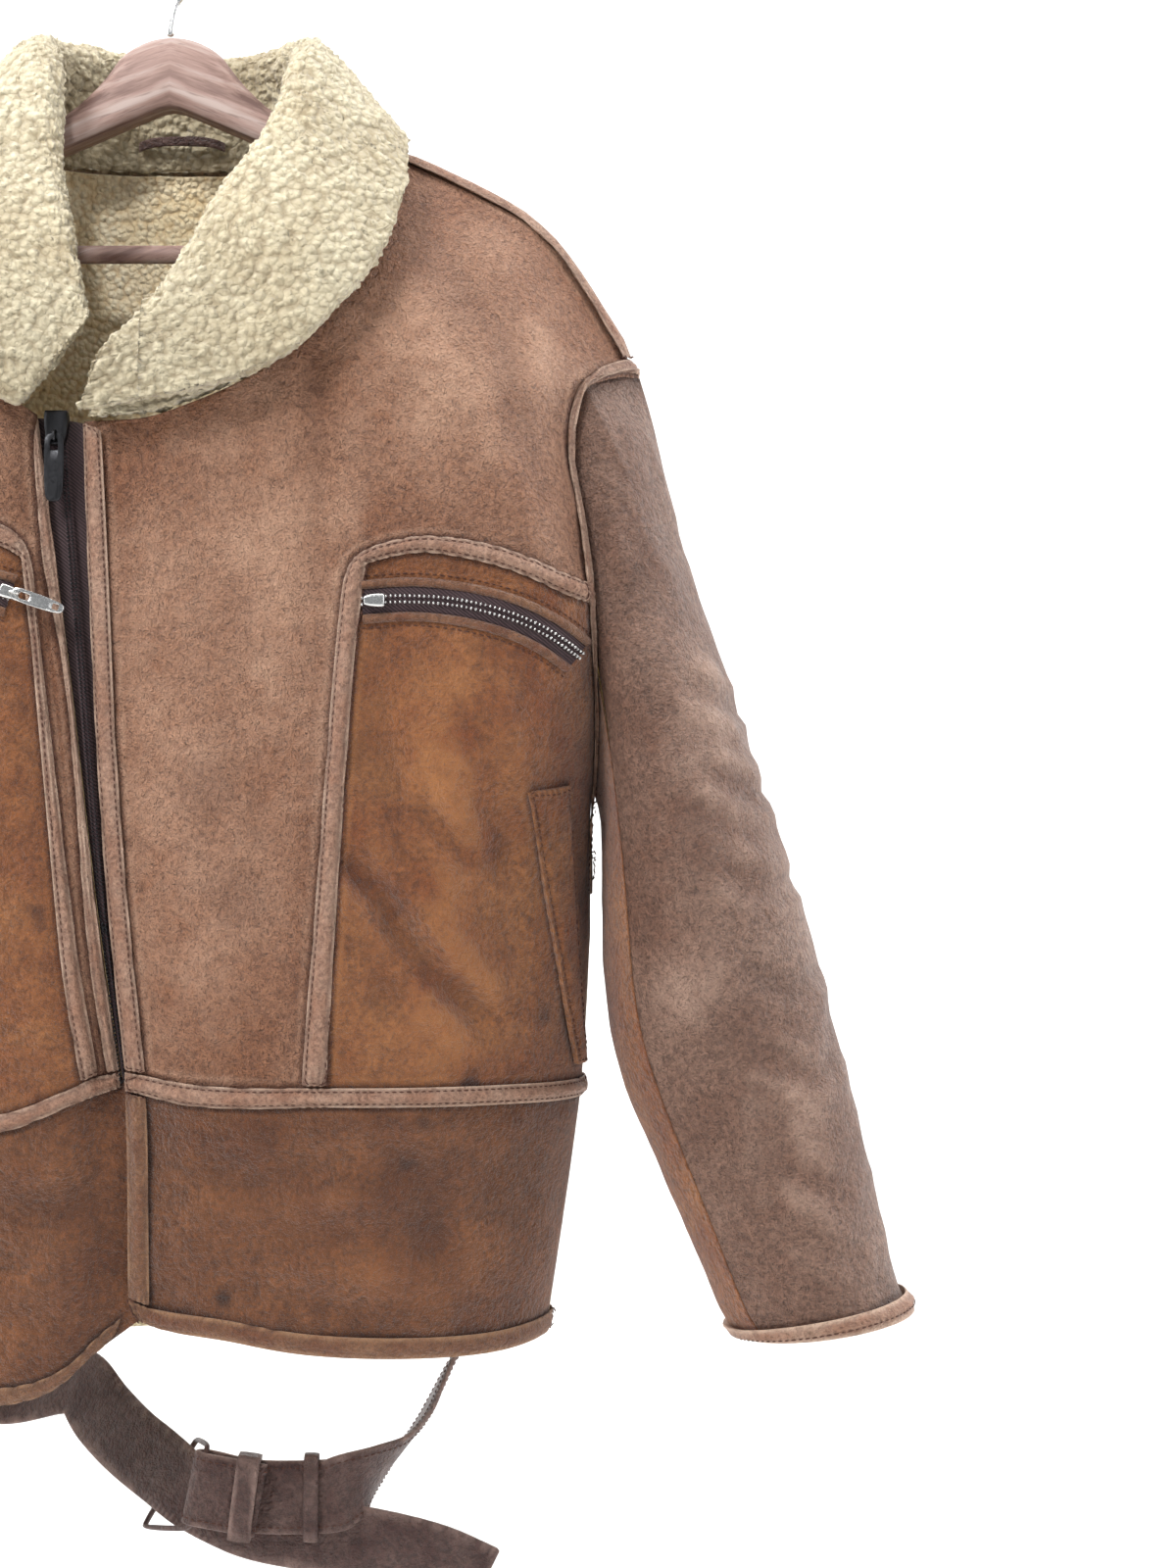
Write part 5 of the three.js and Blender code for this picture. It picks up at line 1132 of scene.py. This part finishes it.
@dataclass
class Strips:
    """The raised strips that bind the seams, the zip's edge, the hems and the armholes."""

    finishes: Finishes
    leather: tuple = (
        "pocket_trim_left", "pocket_trim_right", "placket_strip_left", "placket_strip_right",
        "waist_strip_left",
        "waist_strip_right", "waist_strip_back", "shoulder_strip_left", "shoulder_strip_right",
        "armhole_strip_left", "armhole_strip_right", "cuff_strip_left", "cuff_strip_right",
    )
    rough: tuple = ("hem_strip_left", "hem_strip_right", "hem_strip_back", "front_edge_left")
    welts: tuple = ("side_welt_left", "side_welt_right")
    lines: list = field(default_factory=list)

    def build(self) -> None:
        """Makes each strip and keeps the lines that are sewn on it."""
        for node in self.leather:
            self.strip(node, self.finishes.binding, 1.9)
        for node in self.rough:
            self.strip(node, self.finishes.suede_strip, 1.9)
        for node in self.welts:
            self.strip(node, self.finishes.suede, 2.4)

    def strip(self, node: str, finish: Hide, inset: float) -> None:
        """Makes one strip.

        Args:
            node: the solid it dresses.
            finish: its leather.
            inset: how far in from its edge the stitches run.
        """
        copy = smooth_copy(node, f"{node}_bound", 2, 0.85)
        points, normals = copy.points(), copy.normals()
        rim = copy.rim_distance(points)
        height = 0.4 * waves(points, 11, len(node), 2) * smoothstep(rim / 2)
        plump = 2.2 if node.startswith("cuff") else 1.3
        height += plump * smoothstep((rim - inset) / 3.2) - 0.5 * np.exp(-(((rim - inset) / 0.9) ** 2))
        copy.move(points + normals * (height * MM)[:, None])
        copy.paint("wear_and_highlight", 0.95 * np.exp(-rim / 1.6) + 0.25)
        # Painted shade: the strip darkens along its stitch groove.
        copy.paint("stain_and_shade", 0.5 * np.exp(-(((rim - inset) / 0.9) ** 2)))
        copy.cover(self.finishes.get(finish))
        self.lines += border_lines(copy, inset)
        hand_in(copy.piece, JACKET, (node,), finish.slot)


def smooth_regions(work: bmesh.types.BMesh) -> list:
    """Parts a thin piece's faces at its sharp edges.

    Args:
        work: the piece's mesh.

    Returns:
        Sets of faces, the largest first.
    """
    sharp = {e for e in work.edges if len(e.link_faces) == 2 and e.calc_face_angle(0.0) > BORDER}
    regions: list[set] = []
    seen: set = set()
    for face in work.faces:
        if face in seen:
            continue
        region, queue = set(), [face]
        seen.add(face)
        while queue:
            here = queue.pop()
            region.add(here)
            for edge in here.edges:
                if edge in sharp:
                    continue
                for other in edge.link_faces:
                    if other not in seen:
                        seen.add(other)
                        queue.append(other)
        regions.append(region)
    regions.sort(key=lambda r: -sum(f.calc_area() for f in r))
    return regions


def border_lines(copy: Copy, inset: float) -> list:
    """Lines sewn inside a strip's border, on its outer face.

    Args:
        copy: the strip.
        inset: their distance from the border in millimetres.

    Returns:
        Closed lines as lists of points in metres.
    """
    work = bmesh.new()
    work.from_mesh(copy.piece.data)
    work.edges.index_update()
    regions = smooth_regions(work)
    found: list = []
    for region in regions[:2]:
        middle = sum((f.calc_center_median() for f in region), Vector((0, 0, 0))) / len(region)
        area = sum(f.calc_area() for f in region)
        turned = sum((f.normal * f.calc_area() for f in region), Vector((0, 0, 0)))
        out = Vector((middle.x * 0.4, middle.y, 0)).dot(turned)
        if out <= 0 or area <= 0:
            continue
        edges = [e for f in region for e in f.edges if sum(g in region for g in e.link_faces) == 1]
        found += walk_border(set(edges), region, inset)
    work.free()
    return found


def walk_border(edges: set, region: set, inset: float) -> list:
    """Orders border edges to lines and moves them in over the region's faces."""
    lines: list = []
    left = set(edges)
    while left:
        edge = min(left, key=lambda e: e.index)
        left.discard(edge)
        start = edge.verts[0]
        chain = [start, edge.verts[1]]
        while chain[-1] is not start:
            onward = [e for e in chain[-1].link_edges if e in left]
            if not onward:
                break
            left.discard(onward[0])
            chain.append(onward[0].other_vert(chain[-1]))
        if len(chain) < 12:
            continue
        count = len(chain)
        row = []
        for k, vert in enumerate(chain):
            faces = [f for f in vert.link_faces if f in region]
            if not faces:
                continue
            tangent = (chain[min(k + 2, count - 1)].co - chain[max(k - 2, 0)].co).normalized()
            normal = sum((f.normal for f in faces), Vector((0, 0, 0))).normalized()
            inward = normal.cross(tangent).normalized()
            toward = sum((f.calc_center_median() for f in faces), Vector((0, 0, 0))) / len(faces) - vert.co
            if inward.dot(toward) < 0:
                inward = -inward
            row.append(vert.co + inward * inset * MM + normal * 0.45 * MM)
        lines.append(row)
    return lines


# What repeats: stitches and teeth


@dataclass
class Row:
    """Lays a small mesh at even steps along lines, by Geometry Nodes."""

    name: str
    step: float
    size: tuple

    def tree(self, material: bpy.types.Material) -> tuple[Any, dict]:
        """Builds the node tree.

        Args:
            material: what the small pieces are made of.

        Returns:
            The tree, and its inputs' identifiers by name.
        """
        tree = bpy.data.node_groups.new(self.name, "GeometryNodeTree")
        face = tree.interface
        face.new_socket("Geometry", in_out="INPUT", socket_type="NodeSocketGeometry")
        names = {}
        for label, kind in (
            ("Step", "NodeSocketFloat"), ("Size", "NodeSocketVector"), ("Seed", "NodeSocketInt")
        ):
            names[label] = face.new_socket(label, in_out="INPUT", socket_type=kind).identifier
        face.new_socket("Geometry", in_out="OUTPUT", socket_type="NodeSocketGeometry")
        source = add_node(tree, "NodeGroupInput")
        line = add_node(tree, "GeometryNodeMeshToCurve", {0: source.outputs["Geometry"]})
        spaced = add_node(
            tree, "GeometryNodeResampleCurve", {
                "Curve": line.outputs[0], "Length": source.outputs["Step"]
            }, mode="LENGTH"
        )
        tangent = add_node(tree, "GeometryNodeInputTangent")
        turned = add_node(
            tree, "FunctionNodeAlignRotationToVector", {
                "Vector": tangent.outputs[0]
            }, axis="X", pivot_axis="AUTO"
        )
        ball = add_node(
            tree, "GeometryNodeMeshIcoSphere", {"Radius": 0.5, "Subdivisions": 1}
        )
        uneven = add_node(
            tree, "FunctionNodeRandomValue", {
                2: 0.85, 3: 1.12, "Seed": source.outputs["Seed"]
            }, data_type="FLOAT"
        )
        size = add_node(
            tree, "ShaderNodeVectorMath", {
                0: source.outputs["Size"], 3: uneven.outputs[1]
            }, operation="SCALE"
        )
        placed = add_node(
            tree, "GeometryNodeInstanceOnPoints",
            {"Points": spaced.outputs[0], "Instance": ball.outputs[0], "Rotation": turned.outputs[0],
             "Scale": size.outputs[0]},
        )
        real = add_node(tree, "GeometryNodeRealizeInstances", {0: placed.outputs[0]})
        coloured = add_node(
            tree, "GeometryNodeSetMaterial", {"Geometry": real.outputs[0], "Material": material}
        )
        add_node(tree, "NodeGroupOutput", {0: coloured.outputs[0]})
        return tree, names

    def lay(self, lines: list, material: bpy.types.Material, seed: int = 7) -> bpy.types.Object:
        """Lays the small pieces along lines of points.

        Args:
            lines: lists of points in metres.
            material: what they are made of.
            seed: fixes their unevenness.

        Returns:
            One plain mesh object with all of them.
        """
        points = [tuple(p) for line in lines for p in line]
        edges, start = [], 0
        for line in lines:
            edges += [(start + k, start + k + 1) for k in range(len(line) - 1)]
            start += len(line)
        mesh = bpy.data.meshes.new(f"{self.name}_lines")
        mesh.from_pydata(points, edges, [])
        piece = put(self.name, mesh)
        tree, names = self.tree(material)
        modifier = piece.modifiers.new("lay", "NODES")
        modifier.node_group = tree
        modifier[names["Step"]] = self.step * MM
        modifier[names["Size"]] = [s * MM for s in self.size]
        modifier[names["Seed"]] = seed
        made = evaluated_mesh(piece, self.name)
        piece.modifiers.clear()
        piece.data = made
        bpy.data.meshes.remove(mesh)
        for poly in made.polygons:
            poly.use_smooth = True
        return piece


@dataclass
class FrontZip:
    """The front zip: woven tape, two rows of teeth, slider, bail and pull."""

    finishes: Finishes
    tooth_step: float = 2.2
    tooth_size: tuple = (1.3, 2.6, 1.5)

    def build(self) -> None:
        """Dresses the tape and hardware and lays the teeth along the chain."""
        plain = (
            ("zip_tape", "front_zip_tape", self.finishes.tape, JACKET, 1),
            ("zip_slider", "front_zip_slider", self.finishes.black, JACKET, 2),
            ("zip_bail", "front_zip_bail", self.finishes.black, JACKET, 1),
            ("zip_pull", "front_zip_pull", self.finishes.black, "main_zip_pull", 2),
            ("pocket_slider_left", "pocket_zip_slider_left", self.finishes.silver, JACKET, 2),
            ("pocket_slider_right", "pocket_zip_slider_right", self.finishes.silver, JACKET, 2),
            ("pocket_bail_right", "pocket_zip_bail_right", self.finishes.silver, JACKET, 1),
            ("pocket_pull_right", "pocket_zip_pull_right", self.finishes.silver, "pocket_zip_pull", 2),
        )
        for node, name, finish, body, levels in plain:
            copy = smooth_copy(node, name, levels, 0.8)
            copy.cover(self.finishes.get(finish))
            hand_in(copy.piece, body, (node,), finish.slot)
        self.teeth("zip_chain", "front_zip", self.finishes.black)

    def teeth(self, node: str, name: str, finish: Metal) -> None:
        """Lays teeth along a chain's solid, which they then replace."""
        centre = centre_line(node, 60)
        rows = [offset_line(centre, side * 1.15, 0.5) for side in (-1, 1)]
        rows[1] = [0.5 * (rows[1][k] + rows[1][k + 1]) for k in range(len(rows[1]) - 1)]
        laid = Row(f"{name}_teeth", self.tooth_step, self.tooth_size)
        piece = laid.lay(rows, self.finishes.get(finish))
        core = smooth_copy(node, f"{name}_cord", 1, 0.8)
        core.cover(self.finishes.get(self.finishes.tape))
        hand_in(core.piece, JACKET, (node,), self.finishes.tape.slot)
        hand_in(piece, JACKET, (), finish.slot)


@dataclass
class PocketZips:
    """The chest pockets' zips: tape in a slit with rolled leather lips, and bright teeth."""

    finishes: Finishes
    shell: Shell
    left: tuple = ((119, -398), (146, -396.5), (172, -399), (199, -405.5), (220, -415), (236, -426))
    right: tuple = ((-73, -394.5), (-92, -389), (-120, -386), (-150, -388), (-180, -394), (-214, -408))
    half: float = 9.0
    lip: float = 2.6
    lip_rise: float = 2.7
    stitch_aside: float = 2.6
    stitch_out: float = 0.35
    tooth_aside: float = 1.7
    tooth_out: float = 2.6
    tooth_step: float = 2.6
    tooth_size: tuple = (1.5, 3.9, 2.2)
    steps: int = 110
    band_wear: float = 0.35
    lines: list = field(default_factory=list)

    def build(self) -> None:
        """Makes both pockets' tape, lips and teeth."""
        for name, path in (("left", self.left), ("right", self.right)):
            self.pocket(name, spline(path, self.steps // (len(path) - 1)))

    def onto(self, tree: BVHTree, x: float, z: float, out: float) -> Vector:
        """Point over the side front's hide, a few millimetres out of it."""
        hit, normal, _, _ = tree.ray_cast(Vector((x * MM, -0.4, z * MM)), Vector((0, 1, 0)))
        if hit is None:
            near, normal, _, _ = tree.find_nearest(Vector((x * MM, -0.06, z * MM)))
            hit = near
        return hit + normal * out * MM

    def beside(self, tree: BVHTree, path: np.ndarray, aside: float, out: float) -> list:
        """Line over the hide beside a path, so many millimetres aside and out."""
        return [
            self.onto(tree, p[0] - way[1] * aside, p[1] + way[0] * aside, out)
            for p, way in zip(path, directions(path))
        ]

    def band(
        self, name: str, tree: BVHTree, path: np.ndarray, section: list, material: Any, slot: str
    ) -> None:
        """Makes a band along a line on the hide.

        Args:
            name: the new piece's name.
            tree: search tree of the hide.
            path: its middle line in x and z.
            section: how far aside and how far out each of its section's points lies.
            material: what it is made of.
            slot: the finish's slot name; passed on but not used.
        """
        points = [
            self.onto(tree, p[0] - way[1] * aside, p[1] + way[0] * aside, out)
            for p, way in zip(path, directions(path))
            for aside, out in section
        ]
        piece = closed_band(name, points, len(section))
        piece.data.materials.append(material)
        wear_and_highlight = piece.data.attributes.new("wear_and_highlight", "FLOAT", "POINT")
        wear_and_highlight.data.foreach_set("value", np.full(len(points), self.band_wear, np.float32))
        replaced = (name.replace("_tape", ""),) if name.endswith("_tape") else ()
        hand_in(piece, JACKET, replaced, slot)

    def pocket(self, name: str, path: np.ndarray) -> None:
        """Makes one pocket's zip."""
        hide = self.shell.made[f"side_front_{name}"].piece
        tree = BVHTree.FromPolygons(
            [v.co for v in hide.data.vertices], [list(f.vertices) for f in hide.data.polygons]
        )
        half, lip, rise = self.half, self.lip, self.lip_rise
        tape = [
            (-half, 0.5), (-half / 2, 1.1), (-1.2, 1.3), (1.2, 1.3), (half / 2, 1.1), (half, 0.5),
            (half, 0.2), (-half, 0.2)
        ]
        self.band(
            f"pocket_zip_{name}_tape", tree, path, tape, self.finishes.get(self.finishes.tape), "zip_tape"
        )
        for side, word in ((1, "upper"), (-1, "lower")):
            centre = side * (half + 0.4)
            ring = [
                (centre + lip * math.cos(a), 0.3 + max(rise * math.sin(a), 0.0))
                for a in np.linspace(0, math.pi, 9)
            ] + [(centre - lip, 0.1), (centre + lip, 0.1)]
            self.band(
                f"pocket_lip_{name}_{word}", tree, path, ring, self.finishes.get(self.finishes.suede_strip),
                "suede_strip"
            )
            self.lines.append(
                self.beside(tree, path, side * (half + lip + self.stitch_aside), self.stitch_out)
            )
        rows = [self.beside(tree, path, side * self.tooth_aside, self.tooth_out) for side in (-1, 1)]
        rows[1] = [0.5 * (a + b) for a, b in zip(rows[1][:-1], rows[1][1:])]
        laid = Row(f"pocket_zip_{name}_teeth", self.tooth_step, self.tooth_size)
        piece = laid.lay(rows, self.finishes.get(self.finishes.silver))
        hand_in(piece, JACKET, (), self.finishes.silver.slot)


def centre_line(node: str, count: int) -> np.ndarray:
    """Middle line of a long thin solid on the jacket's front, over its outer face.

    Args:
        node: the solid's name.
        count: points on the line.

    Returns:
        Points in metres from one end to the other.
    """
    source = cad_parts[node].data
    points = np.array([v.co for v in source.vertices])
    spread = points - points.mean(axis=0)
    _, _, ways = np.linalg.svd(spread, full_matrices=False)
    reach = spread @ ways[0]
    edges = np.linspace(reach.min(), reach.max(), 14)
    rows = []
    for low, high in zip(edges[:-1], edges[1:]):
        width = (high - low) * 0.9
        near = points[np.abs(reach - (low + high) / 2) < width]
        if len(near) >= 3:
            middle = (near.max(axis=0) + near.min(axis=0)) / 2
            middle[1] = near[:, 1].min()
            rows.append(middle)
    ends = [points[reach < reach.min() + 1e-3], points[reach > reach.max() - 1e-3]]
    first, last = [(e.max(axis=0) + e.min(axis=0)) / 2 for e in ends]
    first[1], last[1] = ends[0][:, 1].min(), ends[1][:, 1].min()
    return spline(tuple(map(tuple, [first, *rows, last])), max(count // 14, 2))


def offset_line(centre: np.ndarray, aside: float, out: float) -> list:
    """A line beside another on the jacket's front.

    Args:
        centre: the line's points.
        aside: distance to the side in millimetres.
        out: distance out of the cloth in millimetres.

    Returns:
        The new line's points.
    """
    result = []
    for k, p in enumerate(centre):
        way = centre[min(k + 1, len(centre) - 1)] - centre[max(k - 1, 0)]
        flat = np.array([-way[2], 0.0, way[0]])
        flat /= max(np.linalg.norm(flat), 1e-9)
        result.append(Vector(p + flat * aside * MM + np.array([0, -out * MM, 0])))
    return result


@dataclass
class Belt:
    """The waist belt through its carriers, buckled low at the front."""

    finishes: Finishes
    holes: tuple = ((-39.0, -840.6), (-19.7, -861.4), (1.2, -882.8))
    width: float = 42.0
    thick: float = 3.0
    stitch_in: float = 4.0
    stitch_out: float = 0.3
    keeper_x: float = 84.0
    keeper_narrow: float = 0.55
    loop_half: float = 26.0
    loop_squeeze: float = 0.5
    buckle_way: tuple = (
        (0.2, 80.7, -777, 0, 0, 1), (40, 80.4, -777, 0, 0, 1), (75, 79.6, -777, 0, 0, 1),
        (118, 77.8, -777, 0, 0, 1),
        (150, 76.6, -777, 0, 0, 1), (168, 78, -777, 0, 0, 1), (182, 84, -787, 0, 0.7, 0.7),
        (180, 88, -810, 0.1, 1, 0.05), (170, 84, -834, 0, 1, -0.1), (157, 72, -853, -0.15, 0.9, -0.35),
        (147, 52, -870, -0.42, 0.55, -0.72), (138, 28, -882, -0.55, 0.4, -0.73),
        (128, 2, -891, -0.5, 0.3, -0.8),
        (116, -17, -896, -0.3, 0.1, -0.95), (102, -25.6, -901, -0.08, 0, -1),
        (91, -26.7, -904, -0.05, 0, -1),
        (52, -26.7, -904, -0.15, 0, -1), (25, -26.3, -898.6, -0.2, 0, -0.98),
        (18.4, -27.4, -897.4, -0.2, 0, -0.98),
        (15.8, -30.5, -896.9, -0.2, 0, -0.98), (18.4, -33.6, -897.4, -0.2, 0, -0.98),
        (25, -34.7, -898.6, -0.2, 0, -0.98), (56, -34.3, -904.4, -0.15, 0, -1),
    )
    lines: list = field(default_factory=list)

    def build(self) -> None:
        """Makes the straps, carriers, keepers and buckle, and the hang loop of the same leather."""
        for node in ("belt_holed_end", "belt_buckle_end"):
            made = self.strap(f"{node}_way") if node == "belt_buckle_end" else None
            copy = self.leather(node, f"{node}_strap", 2, 0.9, made)
            if made is None:
                self.lines += border_lines(copy, self.stitch_in)
        for node in ("belt_carrier_left", "belt_carrier_middle", "belt_carrier_right", "belt_keeper_sewn",
                     "belt_keeper_loose", "hang_loop"):
            self.leather(node, f"{node}_leather", 2, 0.8)
        copy = smooth_copy("buckle", "belt_buckle_frame", 2, 0.4)
        copy.cover(self.finishes.get(self.finishes.belt))
        copy.paint("wear_and_highlight", np.full(len(copy.piece.data.vertices), 0.2))
        hand_in(copy.piece, JACKET, ("buckle",), "belt_leather")

    def strap(self, name: str) -> Copy:
        """Lofts the buckle end along its way: round the back, down in a twist, and through the keepers."""
        way = spline(self.buckle_way, 9)
        middle, across = way[:, :3] * MM, way[:, 3:]
        run = directions(middle)
        across -= np.einsum("ij,ij->i", across, run)[:, None] * run
        across /= np.linalg.norm(across, axis=1)[:, None]
        out = np.cross(run, across)
        half, deep = self.width / 2, self.thick / 2
        section = [
            (s, deep) for s in np.linspace(-half + 0.7, half - 0.7, 15)
        ] + [(half, deep - 0.8), (half, 0.8 - deep)]
        section += [
            (s, -deep) for s in np.linspace(half - 0.7, 0.7 - half, 15)
        ] + [(-half, 0.8 - deep), (-half, deep - 0.8)]
        points = [
            tuple(m + (a * w + o * h) * MM) for m, w, o in zip(middle, across, out) for a, h in section
        ]
        piece = closed_band(name, points, len(section))
        rims = [m + w * side * half * MM for m, w in zip(middle, across) for side in (-1, 1)]
        for side in (-1, 1):
            for face in (-1, 1):
                self.lines.append([
                    Vector(
                        m + (w * side * (half - self.stitch_in) + o * face * (deep + self.stitch_out)) * MM
                    )
                    for m, w, o in zip(middle, across, out)
                ])
        return Copy(piece, search_tree(rims))

    def leather(
        self, node: str, name: str, levels: int, crease: float, made: Optional[Copy] = None
    ) -> Copy:
        """Makes one leather piece, worn pale along its edges and dark round the holes."""
        copy = made or smooth_copy(node, name, levels, crease)
        points, normals = copy.points(), copy.normals()
        if node == "hang_loop":
            middle = points[:, 2].mean()
            bow = (points[:, 0] - points[:, 0].mean()) / (self.loop_half * MM)
            points[:, 2] = middle + self.loop_squeeze * (points[:, 2] - middle) - 3.5 * MM * bow**4
        if node == "belt_keeper_loose":
            points[:, 0] = self.keeper_x * MM + self.keeper_narrow * (points[:, 0] - self.keeper_x * MM)
        rim = copy.rim_distance(points)
        height = 0.3 * waves(points, 16, 9, 2) * smoothstep(rim / 3)
        flat = points[:, [0, 2]] / MM
        holes = np.zeros(len(points))
        for x, z in self.holes:
            holes += smoothstep(1.8 - np.hypot(flat[:, 0] - x, flat[:, 1] - z) / 2.4)
        copy.move(points + normals * (height * MM)[:, None])
        copy.paint("wear_and_highlight", np.exp(-rim / 2.0) * 1.1 + 0.35 * smoothstep(waves(points, 14, 4, 3)))
        copy.paint("stain_and_shade", holes)
        copy.cover(self.finishes.get(self.finishes.belt))
        hand_in(copy.piece, JACKET, (node,), "belt_leather")
        return copy


@dataclass
class Hanger:
    """The beech hanger with its bar and steel hook."""

    finishes: Finishes
    hook_swell: float = 0.4

    def build(self) -> None:
        """Makes the arms, the bar and the hook."""
        for node, name, finish, levels, crease in (
            ("hanger_arms", "hanger_arms_beech", self.finishes.beech, 1, 1.0),
            ("hanger_bar", "hanger_bar_beech", self.finishes.beech, 2, 0.3),
            ("hanger_hook", "hanger_hook_steel", self.finishes.steel, 2, 0.3),
        ):
            copy = smooth_copy(node, name, levels, crease)
            if node == "hanger_hook":
                copy.move(copy.points() + copy.normals() * self.hook_swell * MM)
            copy.cover(self.finishes.get(finish))
            hand_in(copy.piece, JACKET, (node,), finish.slot)


@dataclass
class Studio:
    """Camera, pale backdrop and soft lights."""

    camera_at: tuple = (0.242, -1.44, -0.497)
    lens_mm: float = 56.8
    floor_z: float = -1.06
    wall_y: float = 0.9
    pale: str = "#f4f4f3"
    neck_from: tuple = (0.02, -1.2, 0.3)
    neck_at: tuple = (0.005, 0.05, -0.18)
    neck_watts: float = 75.0
    neck_spread: float = 9.0

    def build(self) -> None:
        """Sets up the studio."""
        self.camera()
        self.backdrop()
        self.lights()

    def camera(self) -> None:
        """Aims the camera level at the front, as in the photograph."""
        lens = bpy.data.cameras.new("camera")
        lens.lens = self.lens_mm
        lens.sensor_width = 36
        lens.clip_end = 20
        camera = put("camera", lens)
        camera.location = self.camera_at
        camera.rotation_euler = (math.pi / 2, 0, 0)
        bpy.context.scene.camera = camera

    def backdrop(self) -> None:
        """Makes one sheet that runs from the floor up the wall in a round bend."""
        profile = [(-3.0, self.floor_z), (self.wall_y - 0.5, self.floor_z)]
        profile += [
            (self.wall_y - 0.5 + 0.5 * math.sin(a), self.floor_z + 0.5 - 0.5 * math.cos(a))
            for a in np.linspace(0.1, math.pi / 2, 12)
        ]
        profile.append((self.wall_y, 3.0))
        points = [(x, y, z) for y, z in profile for x in (-4.0, 4.0)]
        faces = [(2 * k, 2 * k + 1, 2 * k + 3, 2 * k + 2) for k in range(len(profile) - 1)]
        mesh = bpy.data.meshes.new("backdrop")
        mesh.from_pydata(points, [], faces)
        for poly in mesh.polygons:
            poly.use_smooth = True
        sheet = put("backdrop", mesh)
        paper = bpy.data.materials.new("backdrop_paper")
        paper.use_nodes = True
        shader = paper.node_tree.nodes["Principled BSDF"]
        shader.inputs["Base Color"].default_value = linear(self.pale)
        shader.inputs["Roughness"].default_value = 0.9
        mesh.materials.append(paper)

    def hang(self, lamp: bpy.types.Object, place: tuple, aim: tuple) -> None:
        """Hangs a lamp at a place and turns it to what it lights."""
        lamp.location = place
        lamp.rotation_euler = (Vector(aim) - Vector(place)).to_track_quat("-Z", "Y").to_euler()

    def lights(self) -> None:
        """Hangs the soft boxes, a narrow light into the neck and a pale sky."""
        for name, place, aim, size, power in (
            ("key", (-1.1, -1.5, 1.3), (0.0, 0.0, -0.4), 0.8, 50),
            ("fill", (1.7, -1.9, 0.3), (0.1, 0.0, -0.5), 1.6, 6),
            ("top", (0.1, -0.1, 1.5), (0.0, 0.0, -0.4), 1.0, 20),
            ("wall_left", (-1.6, 0.2, 0.3), (-0.5, 0.9, -0.4), 1.4, 30),
            ("wall_right", (1.9, 0.2, 0.3), (0.9, 0.9, -0.4), 1.4, 30),
        ):
            lamp = bpy.data.lights.new(name, "AREA")
            lamp.energy = power
            lamp.size = size
            self.hang(put(name, lamp), place, aim)
        beam = bpy.data.lights.new("neck", "SPOT")
        beam.energy = self.neck_watts
        beam.spot_size = math.radians(self.neck_spread)
        beam.spot_blend = 1.0
        beam.shadow_soft_size = 0.1
        self.hang(put("neck", beam), self.neck_from, self.neck_at)
        world = bpy.data.worlds.new("pale_sky")
        world.use_nodes = True
        world.node_tree.nodes["Background"].inputs["Color"].default_value = linear("#f2f4f8")
        world.node_tree.nodes["Background"].inputs["Strength"].default_value = 0.36
        bpy.context.scene.world = world
        bpy.context.scene.view_settings.view_transform = "Standard"


def main() -> None:
    """Builds the jacket piece by piece."""
    logging.basicConfig(level=logging.INFO, format="%(name)s %(message)s")
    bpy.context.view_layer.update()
    finishes = Finishes()
    strips = Strips(finishes)
    shell = Shell(finishes, strip_borders(strips.leather + strips.rough + strips.welts))
    shell.build()
    Sleeves(shell).build()
    Collar(finishes).build()
    strips.build()
    FrontZip(finishes).build()
    pockets = PocketZips(finishes, shell)
    pockets.build()
    belt = Belt(finishes)
    belt.build()
    sewing = Row("seam_stitches", 4.0, (3.1, 0.9, 0.9)).lay(
        strips.lines + belt.lines + pockets.lines, finishes.get(finishes.thread)
    )
    hand_in(sewing, JACKET, (), finishes.thread.slot)
    Hanger(finishes).build()
    Studio().build()
    LOG.info("sizes written")


if __name__ == "__main__":
    main()
